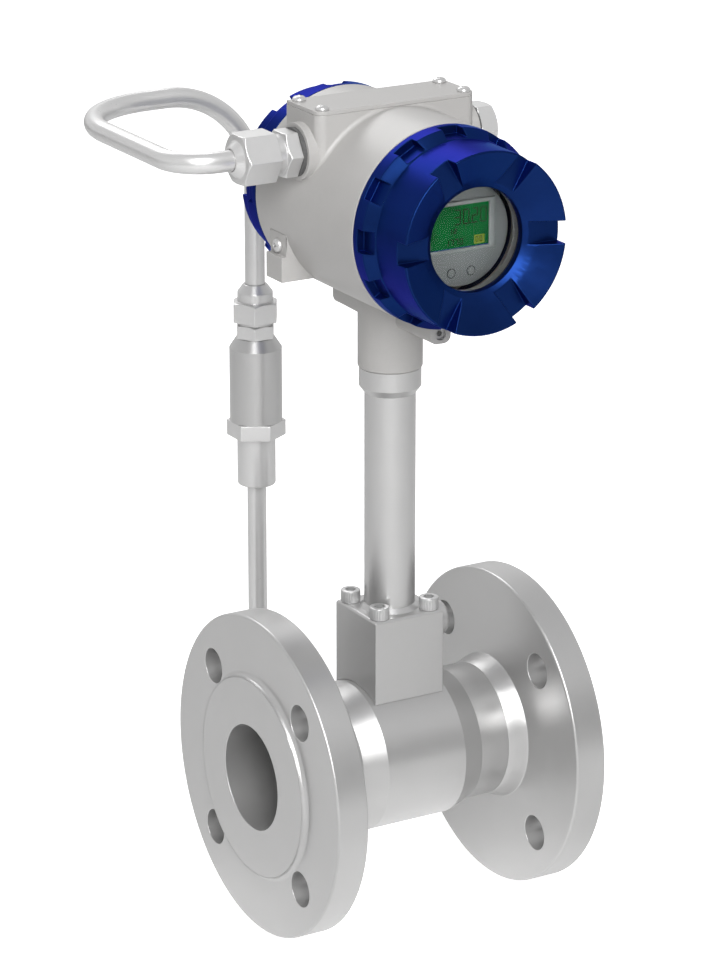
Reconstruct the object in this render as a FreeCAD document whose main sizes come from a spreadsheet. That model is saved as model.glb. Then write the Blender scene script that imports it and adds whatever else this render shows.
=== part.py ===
import FreeCAD, Part
import math
import os
import Sketcher

# Vortex flow meter for a 50 mm pipe: flanged body, bonnet and stem, two-chamber head with screwed
# covers, and a pressure sensor on a bent stainless conduit. Millimetres, +X along the flow, +Z up the
# stem, the display looks along -Y. The origin is the centre of the inlet flange's bolting face.

doc = FreeCAD.newDocument("vortex_flow_meter")
sheet = doc.addObject("Spreadsheet::Sheet", "dims")
vector = FreeCAD.Vector
nodes = []


class Size:
    """A length that knows its formula in the sheet and its present number."""

    def __init__(self, formula, number):
        self.formula = formula
        self.number = float(number)

    def __add__(self, other):
        return Size("(%s + %s)" % (formula(self), formula(other)), self.number + number(other))

    def __sub__(self, other):
        return Size("(%s - %s)" % (formula(self), formula(other)), self.number - number(other))

    def __mul__(self, other):
        return Size("(%s * %s)" % (formula(self), formula(other)), self.number * number(other))

    def __truediv__(self, other):
        return Size("(%s / %s)" % (formula(self), formula(other)), self.number / number(other))

    def __radd__(self, other):
        return Size("(%s + %s)" % (formula(other), formula(self)), number(other) + self.number)

    def __rsub__(self, other):
        return Size("(%s - %s)" % (formula(other), formula(self)), number(other) - self.number)

    def __neg__(self):
        return Size("(0 - %s)" % formula(self), -self.number)

    __rmul__ = __mul__


def number(value):
    return value.number if isinstance(value, Size) else float(value)


def formula(value):
    return value.formula if isinstance(value, Size) else "%.9g" % value


def size(name, value, note):
    """Write one driving dimension into the sheet and return it."""
    size.row += 1
    sheet.set("A%d" % size.row, note)
    sheet.set("B%d" % size.row, str(value))
    sheet.setAlias("B%d" % size.row, name)
    return Size("dims.%s" % name, value)


size.row = 0


def bind(thing, prop, value):
    if isinstance(value, Size):
        thing.setExpression(prop, value.formula)
    else:
        setattr(thing, prop, value)


def place(thing, x, y, z, turn=FreeCAD.Rotation()):
    thing.Placement = FreeCAD.Placement(vector(number(x), number(y), number(z)), turn)
    for axis, value in zip("xyz", (x, y, z)):
        if isinstance(value, Size):
            thing.setExpression("Placement.Base.%s" % axis, value.formula)


def node(thing, label):
    """Name a finished piece, which is written to a file of that name."""
    thing.Label = label
    nodes.append(thing)
    return thing


# Local Z turned to the four ways that round pieces point in.
TO_INLET = FreeCAD.Rotation(vector(0, 1, 0), -90)
TO_OUTLET = FreeCAD.Rotation(vector(0, 1, 0), 90)
TO_FRONT = FreeCAD.Rotation(vector(1, 0, 0), 90)
TO_BACK = FreeCAD.Rotation(vector(1, 0, 0), -90)


def new_body(label):
    return node(doc.addObject("PartDesign::Body", label), label)


def origin_part(body, role):
    return next(part for part in body.Origin.OriginFeatures if part.Role == role)


def sketch_on(body, role, offset=0):
    """An empty sketch on one of the body's own planes, moved along the plane's normal."""
    sketch = body.newObject("Sketcher::SketchObject", "sketch")
    sketch.AttachmentSupport = (origin_part(body, role), [""])
    sketch.MapMode = "FlatFace"
    sketch.AttachmentOffset = FreeCAD.Placement(vector(0, 0, number(offset)), FreeCAD.Rotation())
    if isinstance(offset, Size):
        sketch.setExpression("AttachmentOffset.Base.z", offset.formula)
    return sketch


def pin(sketch, index, point, x, y):
    """Hold a sketch point at x and y from the origin."""
    for kind, value, axis in (("DistanceX", x, -2), ("DistanceY", y, -1)):
        if abs(number(value)) < 1e-9:
            sketch.addConstraint(Sketcher.Constraint("PointOnObject", index, point, axis))
        else:
            rule = Sketcher.Constraint(kind, -1, 1, index, point, number(value))
            row = sketch.addConstraint(rule)
            if isinstance(value, Size):
                sketch.setExpression("Constraints[%d]" % row, value.formula)


def outline(sketch, corners):
    """A closed run of straight lines through the corners."""
    spots = [vector(number(x), number(y), 0) for x, y in corners]
    first = sketch.GeometryCount
    count = len(spots)
    for i in range(count):
        sketch.addGeometry(Part.LineSegment(spots[i], spots[(i + 1) % count]), False)
    for i, (x, y) in enumerate(corners):
        following = first + (i + 1) % count
        sketch.addConstraint(Sketcher.Constraint("Coincident", first + i, 2, following, 1))
        pin(sketch, first + i, 1, x, y)
    return sketch


def rectangle(sketch, low_x, high_x, low_y, high_y):
    return outline(sketch, [(low_x, low_y), (high_x, low_y), (high_x, high_y), (low_x, high_y)])


def circle(sketch, x, y, radius):
    middle = vector(number(x), number(y), 0)
    index = sketch.addGeometry(Part.Circle(middle, vector(0, 0, 1), number(radius)), False)
    pin(sketch, index, 3, x, y)
    row = sketch.addConstraint(Sketcher.Constraint("Radius", index, number(radius)))
    if isinstance(radius, Size):
        sketch.setExpression("Constraints[%d]" % row, radius.formula)
    return sketch


def hexagon(sketch, across_flats, first_angle=0):
    corner = across_flats / math.sqrt(3)
    turns = [math.radians(first_angle + 60 * i) for i in range(6)]
    return outline(sketch, [(corner * math.cos(a), corner * math.sin(a)) for a in turns])


def grow(body, kind, sketch):
    """Add a feature of the given kind to the body, made from the sketch."""
    feature = body.newObject("PartDesign::%s" % kind, kind)
    feature.Profile = sketch
    sketch.Visibility = False
    return feature


def revolve(body, corners, role="XZ_Plane", axis="V_Axis"):
    """Turn an outline of (radius, height) once round the axis."""
    feature = grow(body, "Revolution", outline(sketch_on(body, role), corners))
    feature.ReferenceAxis = (feature.Profile[0], [axis])
    feature.Angle = 360
    doc.recompute()
    return feature


def groove(body, corners, role="XZ_Plane", axis="V_Axis"):
    """Cut the solid that an outline sweeps when it turns once round the axis."""
    before = body.Shape.Volume
    feature = grow(body, "Groove", outline(sketch_on(body, role), corners))
    feature.ReferenceAxis = (feature.Profile[0], [axis])
    feature.Angle = 360
    return checked_cut(body, feature, before)


def pad(body, sketch, length, backwards=False, both_sides=False):
    feature = grow(body, "Pad", sketch)
    bind(feature, "Length", length)
    feature.SideType = "Symmetric" if both_sides else "One side"
    feature.Reversed = backwards
    doc.recompute()
    return feature


def pocket(body, sketch, depth=None, backwards=False, both_sides=False):
    """Cut against the sketch's normal, or along it when backwards; through all with no depth."""
    before = body.Shape.Volume
    feature = grow(body, "Pocket", sketch)
    if depth is None:
        feature.Type = "ThroughAll"
    else:
        bind(feature, "Length", depth)
    feature.SideType = "Symmetric" if both_sides else "One side"
    feature.Reversed = backwards
    return checked_cut(body, feature, before)


def checked_cut(body, feature, before):
    doc.recompute()
    if body.Shape.Volume > before - 1e-3:
        raise ValueError("%s takes nothing away from %s" % (feature.Name, body.Label))
    return feature


def ring_of(body, feature, role, count):
    """Repeat a feature evenly round one of the body's own axes."""
    pattern = body.newObject("PartDesign::PolarPattern", "PolarPattern")
    pattern.Originals = [feature]
    pattern.Axis = (origin_part(body, role), [""])
    pattern.Angle = 360
    pattern.Occurrences = count
    body.Tip = pattern
    doc.recompute()
    return pattern


def soften(body, kind, amount, wanted):
    """Fillet or chamfer the edges that the test picks."""
    base = body.Tip
    names = ["Edge%d" % (i + 1) for i, edge in enumerate(base.Shape.Edges) if wanted(edge)]
    feature = body.newObject("PartDesign::%s" % kind, kind)
    feature.Base = (base, names)
    bind(feature, "Radius" if kind == "Fillet" else "Size", amount)
    body.Tip = feature
    doc.recompute()
    return feature


def is_circle(edge, radius, axis=None, at=None):
    if not isinstance(edge.Curve, Part.Circle) or abs(edge.Curve.Radius - number(radius)) > 1e-3:
        return False
    return axis is None or abs(getattr(edge.Curve.Center, axis) - number(at)) < 1e-3


def is_line(edge, direction, **at):
    """A straight edge along the direction, with its middle at the places given by axis name."""
    if len(edge.Vertexes) != 2 or not isinstance(edge.Curve, Part.Line):
        return False
    along = edge.Vertexes[1].Point - edge.Vertexes[0].Point
    if along.normalize().cross(direction).Length > 1e-6:
        return False
    return all(abs(getattr(edge.CenterOfMass, axis) - number(v)) < 1e-3 for axis, v in at.items())


def primitive(kind, **sizes):
    """A Part primitive with its sizes bound to the sheet."""
    thing = doc.addObject("Part::%s" % kind, kind.lower())
    for prop, value in sizes.items():
        bind(thing, prop, value)
    return thing


def combine(kind, base, tool):
    joined = doc.addObject("Part::%s" % kind, kind.lower())
    joined.Base = base
    joined.Tool = tool
    return joined


def group_of(label, things):
    """Like pieces that lie apart and share one node."""
    compound = doc.addObject("Part::Compound", label)
    compound.Links = things
    return node(compound, label)


# Every independent size, in the sheet and in millimetres.
# The line and its flanges
face_to_face = size("face_to_face", 160, "between the two raised faces")
bore = size("bore_diameter", 54, "flow bore")
flange_od = size("flange_diameter", 165, "both flanges")
flange_thick = size("flange_thickness", 17, "flange without its raised face")
raised_od = size("raised_face_diameter", 102, "gasket face")
raised_high = size("raised_face_height", 3, "gasket face above the bolting face")
bolt_circle = size("bolt_circle", 125, "pitch circle of the flange holes")
bolt_hole = size("bolt_hole_diameter", 18, "flange holes for 16 mm bolts")
hub_od = size("hub_diameter", 75.4, "hub where it leaves the flange")
neck_od = size("neck_diameter", 68.8, "hub where it is welded to the body")
hub_long = size("hub_length", 9.8, "hub from the flange's back to the weld")
rim_chamfer = size("rim_chamfer", 0.8, "chamfer round the flange's rim")

# The meter's body
body_od = size("body_diameter", 76.8, "thick middle of the body")
body_long = size("body_length", 44.6, "thick middle of the body")
cone_long = size("body_cone_length", 12.1, "taper from the thick middle to the necks")
port_r = size("sensor_port_radius", 8.1, "port that the sensor passes through")
seat_r = size("sensor_seat_radius", 13.2, "counterbore for the sensor's flange")
seat_deep = size("sensor_seat_depth", 7.6, "counterbore below the top of the body")
screw_r = size("bonnet_screw_radius", 3, "bonnet screws")
screw_pitch = size("bonnet_screw_pitch", 28.6, "square on which the bonnet screws stand")
screw_long = size("bonnet_screw_length", 50, "bonnet screws under the head")
thread_gap = size("thread_gap", 0.05, "radial room round a thread's crests")
block_top = size("bonnet_top", 77.1, "top of the bonnet above the pipe's axis")
tap_r = size("tap_bore_radius", 2.5, "pressure tap through the back of the body")
tap_boss_r = size("tap_boss_radius", 9, "boss that the impulse pipe is welded into")
tap_boss_y = size("tap_boss_reach", 50, "boss's face from the pipe's axis")
pipe_od = size("impulse_pipe_diameter", 10, "impulse pipe")
pipe_socket = size("pipe_socket_depth", 5, "how far the impulse pipe enters its sockets")

# The shedder bar
bar_wide = size("shedder_width", 15, "shedder's face across the flow")
bar_tail = size("shedder_tail_width", 5, "shedder's back edge")
bar_long = size("shedder_length", 18, "shedder along the flow")
bar_gap = size("shedder_to_sensor", 9, "shedder's tail upstream of the stem axis")

# The vortex sensor
gasket_thick = size("sensor_gasket_thickness", 0.8, "ring under the sensor's flange")
plug_gap = size("sensor_plug_gap", 0.1, "radial room round the sensor's plug")
plug_foot = size("sensor_plug_foot", 25.6, "plug's lower face above the pipe's axis")
paddle_foot = size("paddle_foot", 7, "paddle's lower edge above the pipe's axis")
paddle_long = size("paddle_length", 9, "paddle along the flow")
paddle_thick = size("paddle_thickness", 2.4, "paddle across the flow")
stub_r = size("sensor_stub_radius", 6.5, "sensor's upper stub inside the bonnet")
stub_top = size("sensor_stub_top", 52, "top of the sensor's stub")
clamp_z = size("sensor_flange_top", 36, "top of the sensor's flange, inside the counterbore")

# The bonnet
block_side = size("bonnet_side", 39.4, "square bonnet")
block_bore_r = size("bonnet_bore_radius", 7, "bonnet's bore above the sensor")
block_chamfer = size("bonnet_chamfer", 1, "chamfer round the bonnet's top")
clearance_r = size("bonnet_clearance_radius", 3.3, "screw holes through the bonnet")
side_plug_r = size("side_plug_radius", 9, "head of the plug in the bonnet's side")
side_plug_long = size("side_plug_length", 11.5, "plug's head beyond the bonnet")
side_plug_z = size("side_plug_height", 65, "plug above the pipe's axis")
side_shank_r = size("side_plug_shank_radius", 5, "plug's threaded shank")
side_shank_long = size("side_plug_shank_length", 7, "plug's threaded shank")
side_round = size("side_plug_rounding", 3, "rounding of the plug's head")

# The bonnet's screws
cap_head_r = size("cap_head_radius", 5, "bonnet screw's head")
cap_head_high = size("cap_head_height", 6.3, "bonnet screw's head")
cap_key = size("cap_key", 5, "bonnet screw's hexagon key")

# The stem and its adapter
stem_od = size("stem_diameter", 25.5, "stem tube")
stem_wall = size("stem_wall", 2.4, "stem tube's wall")
stem_top = size("stem_top", 189.4, "top of the stem tube")
weld_leg = size("stem_weld_leg", 2.2, "weld round the stem's foot")
collar_od = size("adapter_diameter", 30.9, "adapter's collar")
collar_cone = size("adapter_cone_length", 3.6, "taper under the collar")
collar_high = size("adapter_height", 13.1, "collar with its taper, above the tube")
spigot_r = size("adapter_spigot_radius", 11, "threaded spigot inside the head's neck")
spigot_long = size("adapter_spigot_length", 19, "threaded spigot")
adapter_bore_r = size("adapter_bore_radius", 7.5, "wire way through the adapter")

# The head's housing
axis_z = size("head_axis_height", 284.9, "barrel's axis above the pipe's axis")
barrel_r = size("barrel_radius", 49.2, "housing's barrel")
barrel_front = size("barrel_front", 47.5, "barrel's front end from the stem axis")
barrel_back = size("barrel_back", 46.5, "barrel's back end from the stem axis")
chamber_r = size("chamber_radius", 42, "both chambers")
wall_front = size("wall_front", 14, "front of the wall between the chambers")
wall_back = size("wall_back", 9, "back of the wall between the chambers")
mouth_r = size("mouth_radius", 45, "recess for the cover's seal ring")
mouth_deep = size("mouth_depth", 2.2, "recess for the cover's seal ring")
crown_wide = size("crown_width", 88, "rectangular crown on the barrel, across")
crown_front = size("crown_front", 6.8, "crown's front face from the stem axis")
crown_long = size("crown_length", 31, "crown from front to back")
crown_top = size("crown_top", 336.2, "top of the crown above the pipe's axis")
crown_round = size("crown_rounding", 5, "crown's upright corners")
plate_thick = size("crown_plate_thickness", 2, "plate on the crown")
bead_r = size("crown_bead_radius", 2.2, "cast fillet where the crown meets the barrel")
entry_y = size("entry_offset", 8.7, "cable entries behind the stem axis")
entry_z = size("entry_height", 314.5, "cable entries above the pipe's axis")
entry_boss_r = size("entry_boss_radius", 14, "round boss of each cable entry")
entry_face = size("entry_face", 48, "boss's face from the stem axis")
entry_r = size("entry_radius", 8, "cable entries")
neck_r = size("head_neck_radius", 16.1, "round neck of the head")
neck_bevel = size("head_neck_bevel", 0.8, "bevel round the neck's lower end")
foot_half = size("foot_half_width", 16, "cast foot under the barrel, half its width")
foot_back = size("foot_back", 29, "cast foot's back end")
foot_z = size("foot_height", 231.3, "underside of the cast foot")
foot_round = size("foot_rounding", 3, "rear lower edge of the cast foot")
lug_half = size("lock_lug_half_width", 5.7, "lug for the cover's lock screw, half its width")
lug_z = size("lock_lug_height", 225.8, "underside of the lock lug")
lug_round = size("lock_lug_rounding", 3.8, "lower corners of the lock lug")
lock_z = size("lock_screw_height", 230.8, "lock screw above the pipe's axis")
lock_r = size("lock_screw_radius", 3, "lock screw")
lock_hole_long = size("lock_hole_length", 14, "lock screw's threaded hole")
earth_x = size("earth_lug_reach", 49.5, "earth lug's face from the stem axis")
earth_step = size("earth_lug_step", 2.5, "upper half of the earth lug stands back by this")
earth_y = size("earth_lug_front", 20, "earth lug's front face")
earth_long = size("earth_lug_length", 15.6, "earth lug from front to back")
earth_low = size("earth_lug_low", 246.5, "underside of the earth lug")
earth_mid = size("earth_lug_middle", 259.1, "step in the earth lug")
earth_high = size("earth_lug_high", 270.1, "top of the earth lug")
earth_screw_r = size("earth_screw_radius", 2, "earth screw")
earth_screw_long = size("earth_screw_length", 8, "earth screw under its head")
plate_screw_r = size("plate_screw_radius", 1.5, "crown plate screws")
plate_screw_long = size("plate_screw_length", 8, "crown plate screws under the head")
plate_inset = size("plate_screw_inset", 4.2, "crown plate screws from the plate's edges")
plate_inset_x = size("plate_screw_inset_side", 4.6, "crown plate screws from the plate's ends")
passage_r = size("wire_passage_radius", 6.5, "wire way from the neck to the back chamber")
link_r = size("board_link_radius", 4, "sealed pin header through the wall between the chambers")
link_x = size("board_link_offset", 20, "pin header from the barrel's axis, toward the outlet")
link_z = size("board_link_drop", 12, "pin header below the barrel's axis")

# Screws on the head
pan_r = size("plate_screw_head_radius", 3.4, "crown plate screw's head")
pan_high = size("plate_screw_head_height", 2.4, "crown plate screw's head")
earth_head_r = size("earth_screw_head_radius", 3.6, "earth screw's head")
earth_head_high = size("earth_screw_head_height", 2.2, "earth screw's head")
lock_screw_long = size("lock_screw_length", 10, "lock screw, headless with a hexagon key")
lock_inset = size("lock_screw_inset", 1.5, "lock screw's face inside the lug")

# The covers
cover_gap = size("cover_gap", 0.5, "between a closed cover and the barrel")
skirt_r = size("cover_skirt_radius", 49.1, "cover's base ring")
skirt_high = size("cover_skirt_height", 8.6, "cover's base ring")
grip_r = size("cover_grip_radius", 44.5, "cover's round wall above the base ring")
grip_z = size("cover_grip_start", 14, "end of the taper above the base ring")
thread_fit = size("cover_thread_gap", 0.3, "radial room round the cover's thread")
thread_wall = size("cover_thread_wall", 3.2, "wall of the cover's threaded sleeve")
thread_long = size("cover_thread_length", 10, "cover's threaded sleeve")
notch_wide = size("notch_width", 11, "wrench notches")
notch_floor_r = size("skirt_notch_floor", 44.9, "floor of the notches in the base ring")
notch_start = size("skirt_notch_start", 3.6, "start of the notches above the base ring's foot")
front_high = size("front_cover_height", 40.4, "front cover above its foot")
rim_inner_r = size("front_rim_inner_radius", 31.3, "inner edge of the front cover's dished face")
rim_drop = size("front_rim_drop", 5.4, "dished face's fall from rim to inner edge")
window_r = size("window_radius", 25.3, "window opening")
window_drop = size("window_drop", 9.4, "window's edge below the rim")
front_notch_drop = size("front_notch_depth", 7.7, "floor of the rim notches below the rim")
lip_z = size("glass_lip_height", 27.4, "lip that the glass bears on")
glass_seat_r = size("glass_seat_radius", 31.3, "bore that holds the glass")
glass_seat_z = size("glass_seat_start", 14, "start of the glass's bore")
back_high = size("back_cover_height", 23, "back cover above its foot")
back_floor = size("back_cover_floor", 15, "inside of the back cover's end")
back_dish = size("back_cover_dish", 2, "dished middle of the back cover")
back_notch_drop = size("back_notch_depth", 5, "floor of the back cover's rim notches")
rim_bevel = size("cover_rim_bevel", 0.7, "bevel round a cover's rim")
seal_r = size("seal_section_radius", 0.95, "section of the covers' seal rings")

# The window
glass_gasket = size("glass_gasket_thickness", 0.8, "gasket between the glass and the lip")
glass_thick = size("glass_thickness", 6, "window glass")
glass_gap = size("glass_gap", 0.2, "radial room round the glass and its ring")
ring_high = size("retaining_ring_height", 5, "screwed ring behind the glass")
ring_in_r = size("retaining_ring_inner_radius", 28.4, "inner edge of the screwed ring")

# The boards, the display and its keys
board_r = size("board_radius", 36, "round circuit boards")
board_thick = size("board_thickness", 1.6, "round circuit boards")
front_board_y = size("front_board_reach", 30, "amplifier board's back face from the stem axis")
pillar_r = size("pillar_radius", 2.5, "pillars under the boards")
pillar_circle = size("pillar_circle", 66, "circle on which the pillars stand")
can_r = size("display_can_radius", 30, "display can's back part")
can_step = size("display_can_step", 50, "front of the can's back part from the stem axis")
face_r = size("display_face_radius", 26.3, "display can's round face")
face_y = size("display_face_reach", 64.5, "display face from the stem axis")
panel_wide = size("panel_width", 30, "display panel")
panel_high = size("panel_height", 21, "display panel")
panel_z = size("panel_offset", 3.4, "panel's middle above the barrel's axis")
panel_sunk = size("panel_sunk", 1.2, "panel's front below the face")
panel_thick = size("panel_thickness", 1.5, "display panel")
key_r = size("key_radius", 1.9, "display keys")
key_gap = size("key_gap", 0.1, "radial room round the keys")
key_x = size("key_offset", 5.45, "keys from the barrel's axis, to each side")
key_z = size("key_drop", 18.9, "keys below the barrel's axis")
key_long = size("key_length", 4, "display keys")
key_proud = size("key_proud", 0.5, "keys above the face")
key_travel = size("key_travel", 0.5, "stroke of the keys")

# The terminals
back_board_y = size("back_board_reach", 20, "terminal board's front face from the stem axis")
terminal_wide = size("terminal_width", 52, "terminal block")
terminal_deep = size("terminal_depth", 13, "terminal block out from its board")
terminal_high = size("terminal_height", 16, "terminal block")
terminal_pitch = size("terminal_pitch", 8, "between terminals")
terminal_drop = size("terminal_drop", 8, "terminal block's middle below the barrel's axis")
well_r = size("terminal_well_radius", 2.6, "screw wells in the terminal block")
well_rise = size("terminal_well_rise", 3, "screw wells below the block's middle")
mouth_start = size("terminal_mouth_start", 2, "wire mouths out from the board")
mouth_high = size("terminal_mouth_height", 5, "wire mouths")
well_deep = size("terminal_well_depth", 6, "screw wells in the terminal block")
terminal_screw_r = size("terminal_screw_radius", 2.3, "terminal screws")
terminal_screw_high = size("terminal_screw_height", 3, "terminal screws")
link_flange = size("board_link_flange_radius", 6, "pin header's flange on the wall")

# The leads
lead_r = size("lead_radius", 1.6, "sensor's lead inside the stem")
lead_bend = size("lead_bend", 9, "bend of the lead in the head")
lead_top = size("lead_top", 257, "lead's crossing to the terminal board")

# The cable entries and their fittings
conduit_od = size("conduit_diameter", 10.4, "bent stainless conduit")
conduit_wall = size("conduit_wall", 1.2, "conduit's wall")
conduit_fit = size("conduit_fit", 0.1, "radial room round the conduit in its fittings")
seal_thick = size("entry_seal_thickness", 2, "seal ring against the entry's boss")
seal_out_r = size("entry_seal_radius", 12, "seal ring against the entry's boss")
fit_af = size("adapter_across_flats", 21.6, "entry adapter's hexagon")
fit_hex = size("adapter_hex_length", 7.2, "entry adapter's hexagon")
fit_neck_r = size("adapter_neck_radius", 9.6, "adapter's round neck")
fit_neck = size("adapter_neck_length", 4.9, "adapter's round neck")
nose_r = size("adapter_nose_radius", 8.3, "adapter's threaded nose inside the nut")
nose_long = size("adapter_nose_length", 11, "adapter's threaded nose")
entry_thread_long = size("entry_thread_length", 9, "adapter's thread inside the housing")
nut_af = size("nut_across_flats", 23.7, "cap nut's hexagon")
nut_long = size("nut_length", 17.8, "cap nut's hexagon")
nut_collar_r = size("nut_collar_radius", 9.2, "cap nut's cone where it leaves the hexagon")
nut_collar_long = size("nut_collar_length", 3.4, "cap nut's cone")
nut_shoulder = size("nut_shoulder", 14.2, "cap nut's shoulder from its open end")
ferrule_gap = size("ferrule_gap", 0.15, "end room round the ferrule")
conduit_in = size("conduit_entry", 2.5, "conduit's end inside the adapter's nose")
blank_af = size("blank_plug_across_flats", 22.5, "blanking plug")
blank_long = size("blank_plug_length", 9.5, "blanking plug's hexagon")

# The pressure sensor
sensor_x = size("pressure_axis_offset", 0.5, "pressure sensor's axis along the flow from the stem axis")
sensor_y = size("pressure_axis_reach", 139, "pressure sensor's axis behind the stem axis")
case_foot = size("case_foot", 136, "foot of the sensor's case")
case_r = size("case_radius", 13.8, "sensor's case")
case_shoulder = size("case_shoulder", 175.8, "top of the case's round wall")
case_top = size("case_top", 181.4, "top of the case's cone")
case_top_r = size("case_top_radius", 10.2, "small end of the case's cone")
case_wall = size("case_wall", 2, "sensor case's wall")
top_af = size("top_adapter_across_flats", 19, "adapter on the sensor's case")
top_hex = size("top_adapter_hex_length", 7.3, "adapter on the sensor's case")
top_neck = size("top_adapter_neck_length", 1.8, "adapter's round neck")
top_thread = size("top_adapter_thread_length", 4, "adapter's thread inside the case")
top_nut_af = size("top_nut_across_flats", 22.4, "cap nut on the sensor")
top_nut_long = size("top_nut_length", 10.5, "cap nut's hexagon")
top_waist = size("top_nut_waist", 5, "round waist above the cap nut's hexagon")
top_cone = size("top_nut_cone", 4.3, "cap nut's cone")
top_cone_r = size("top_nut_cone_radius", 9.3, "cap nut's waist")
base_af = size("base_across_flats", 27, "hexagon at the sensor's foot")
base_low = size("base_hex_low", 127.6, "underside of the foot's hexagon")
base_r = size("base_radius", 10.1, "round foot below the hexagon")
base_foot = size("base_foot", 100.6, "underside of the round foot")
base_round = size("base_rounding", 1.2, "rounded edge of the round foot")
spigot_up = size("base_spigot_length", 5, "foot's spigot inside the case")
spigot_gap = size("base_spigot_gap", 0.1, "radial room round the foot's spigot")
cell_r = size("pressure_cell_radius", 8.5, "pressure cell")
cell_high = size("pressure_cell_height", 8, "pressure cell")

# The conduit's loop and the impulse pipe
loop_x = size("conduit_loop_reach", 109.3, "conduit's crossing on the inlet side of the stem axis")
loop_small = size("conduit_small_bend", 20, "first bend of the conduit")
loop_large = size("conduit_large_bend", 50, "other bends of the conduit")
signal_r = size("signal_lead_radius", 2, "pressure cell's lead inside the conduit")
signal_x = size("signal_lead_offset", 15, "lead's end from the barrel's axis, toward the inlet")
pipe_wall = size("impulse_pipe_wall", 1.5, "impulse pipe's wall")
pipe_bend = size("impulse_pipe_bend", 32, "bends of the impulse pipe")
doc.recompute()

# The line: a 50 mm bore between two drilled raised-face flanges.

bore_r = bore / 2
middle = face_to_face / 2 - raised_high
outlet_x = face_to_face - raised_high * 2
weld_x = flange_thick + hub_long


def flange(label):
    """A weld-neck flange whose bolting face is its own XY-origin plane and whose hub points +X."""
    body = new_body(label)
    rim = flange_od / 2
    revolve(body, [
        (-raised_high, bore_r), (-raised_high, raised_od / 2), (0, raised_od / 2), (0, rim),
        (flange_thick, rim), (flange_thick, hub_od / 2), (weld_x, neck_od / 2), (weld_x, bore_r),
    ], "XY_Plane", "H_Axis")
    soften(body, "Chamfer", rim_chamfer, lambda edge: is_circle(edge, rim))
    soften(body, "Fillet", raised_high * 0.98, lambda edge: is_circle(edge, raised_od / 2, "x", 0))
    hole = sketch_on(body, "YZ_Plane", -raised_high)
    diagonal = bolt_circle / 2 * math.cos(math.pi / 4)
    circle(hole, diagonal, diagonal, bolt_hole / 2)
    drilled = pocket(body, hole, flange_thick + raised_high * 2, backwards=True)
    ring_of(body, drilled, "X_Axis", 4)
    return body


flange("inlet_flange")
place(flange("outlet_flange"), outlet_x, 0, 0, FreeCAD.Rotation(vector(0, 0, 1), 180))

# The body between the flanges: a turned barrel, thicker where the sensor and the bonnet sit on it.
body_r = body_od / 2
screw_tip = block_top - screw_long
half_pitch = screw_pitch / 2


def four_corners(reach):
    return [(reach * a, reach * b) for a in (-1, 1) for b in (-1, 1)]


meter_body = new_body("meter_body")
thick_start = middle - body_long / 2
thick_end = middle + body_long / 2
revolve(meter_body, [
    (weld_x, bore_r), (weld_x, neck_od / 2), (thick_start - cone_long, neck_od / 2),
    (thick_start, body_r), (thick_end, body_r), (thick_end + cone_long, neck_od / 2),
    (outlet_x - weld_x, neck_od / 2), (outlet_x - weld_x, bore_r),
], "XY_Plane", "H_Axis")
boss = sketch_on(meter_body, "XZ_Plane", -tap_boss_y)
circle(boss, middle, 0, tap_boss_r)
pad(meter_body, boss, tap_boss_y - bore_r - 4)
pocket(meter_body, circle(sketch_on(meter_body, "XZ_Plane"), middle, 0, tap_r))
pocket(meter_body, circle(sketch_on(meter_body, "XZ_Plane", pipe_socket - tap_boss_y), middle, 0, pipe_od / 2))
pocket(meter_body, circle(sketch_on(meter_body, "XY_Plane"), middle, 0, port_r), backwards=True)
seat = circle(sketch_on(meter_body, "XY_Plane", body_r - seat_deep), middle, 0, seat_r)
pocket(meter_body, seat, backwards=True)
tapped = sketch_on(meter_body, "XY_Plane", screw_tip - 0.3)
for x, y in four_corners(half_pitch):
    circle(tapped, middle + x, y, screw_r + thread_gap)
pocket(meter_body, tapped, backwards=True)

# The shedder bar stands across the bore: a tapering bar with its broad face to the flow.
bar_end = middle - bar_gap
bar_profile = doc.addObject("Sketcher::SketchObject", "shedder_profile")
outline(bar_profile, [
    (bar_end - bar_long, -bar_wide / 2), (bar_end, -bar_tail / 2),
    (bar_end, bar_tail / 2), (bar_end - bar_long, bar_wide / 2),
])
bar_blank = doc.addObject("Part::Extrusion", "shedder_blank")
bar_blank.Base = bar_profile
bar_blank.Dir = vector(0, 0, 1)
bar_blank.Symmetric = True
bar_blank.Solid = True
bind(bar_blank, "LengthFwd", bore)
bore_plug = primitive("Cylinder", Radius=bore_r, Height=face_to_face)
place(bore_plug, 0, 0, 0, TO_OUTLET)
node(combine("Common", bar_blank, bore_plug), "shedder_bar")

# The sensor: a thin paddle behind the shedder, on a plug clamped into its counterbore.
gasket_z = body_r - seat_deep
flange_z = gasket_z + gasket_thick

sensor = new_body("vortex_sensor")
plug_r = port_r - plug_gap
revolve(sensor, [
    (0, plug_foot), (plug_r, plug_foot), (plug_r, flange_z), (seat_r - plug_gap, flange_z),
    (seat_r - plug_gap, clamp_z), (stub_r, clamp_z), (stub_r, stub_top), (0, stub_top),
])
half_long = paddle_long / 2
half_thick = paddle_thick / 2
paddle = rectangle(sketch_on(sensor, "XY_Plane", paddle_foot), -half_long, half_long, -half_thick, half_thick)
pad(sensor, paddle, plug_foot - paddle_foot + 1)
soften(sensor, "Fillet", half_thick * 0.9, lambda edge: is_line(edge, vector(0, 0, 1), x=-half_long))
place(sensor, middle, 0, 0)

gasket = new_body("sensor_gasket")
ring_in = port_r + 0.4
ring_out = seat_r - plug_gap
revolve(gasket, [(ring_in, gasket_z), (ring_out, gasket_z), (ring_out, flange_z), (ring_in, flange_z)])
place(gasket, middle, 0, 0)

# The bonnet: a square block saddled on the body, held by four long socket screws.
half_side = block_side / 2
block_foot = body_r * 0.5

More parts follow.
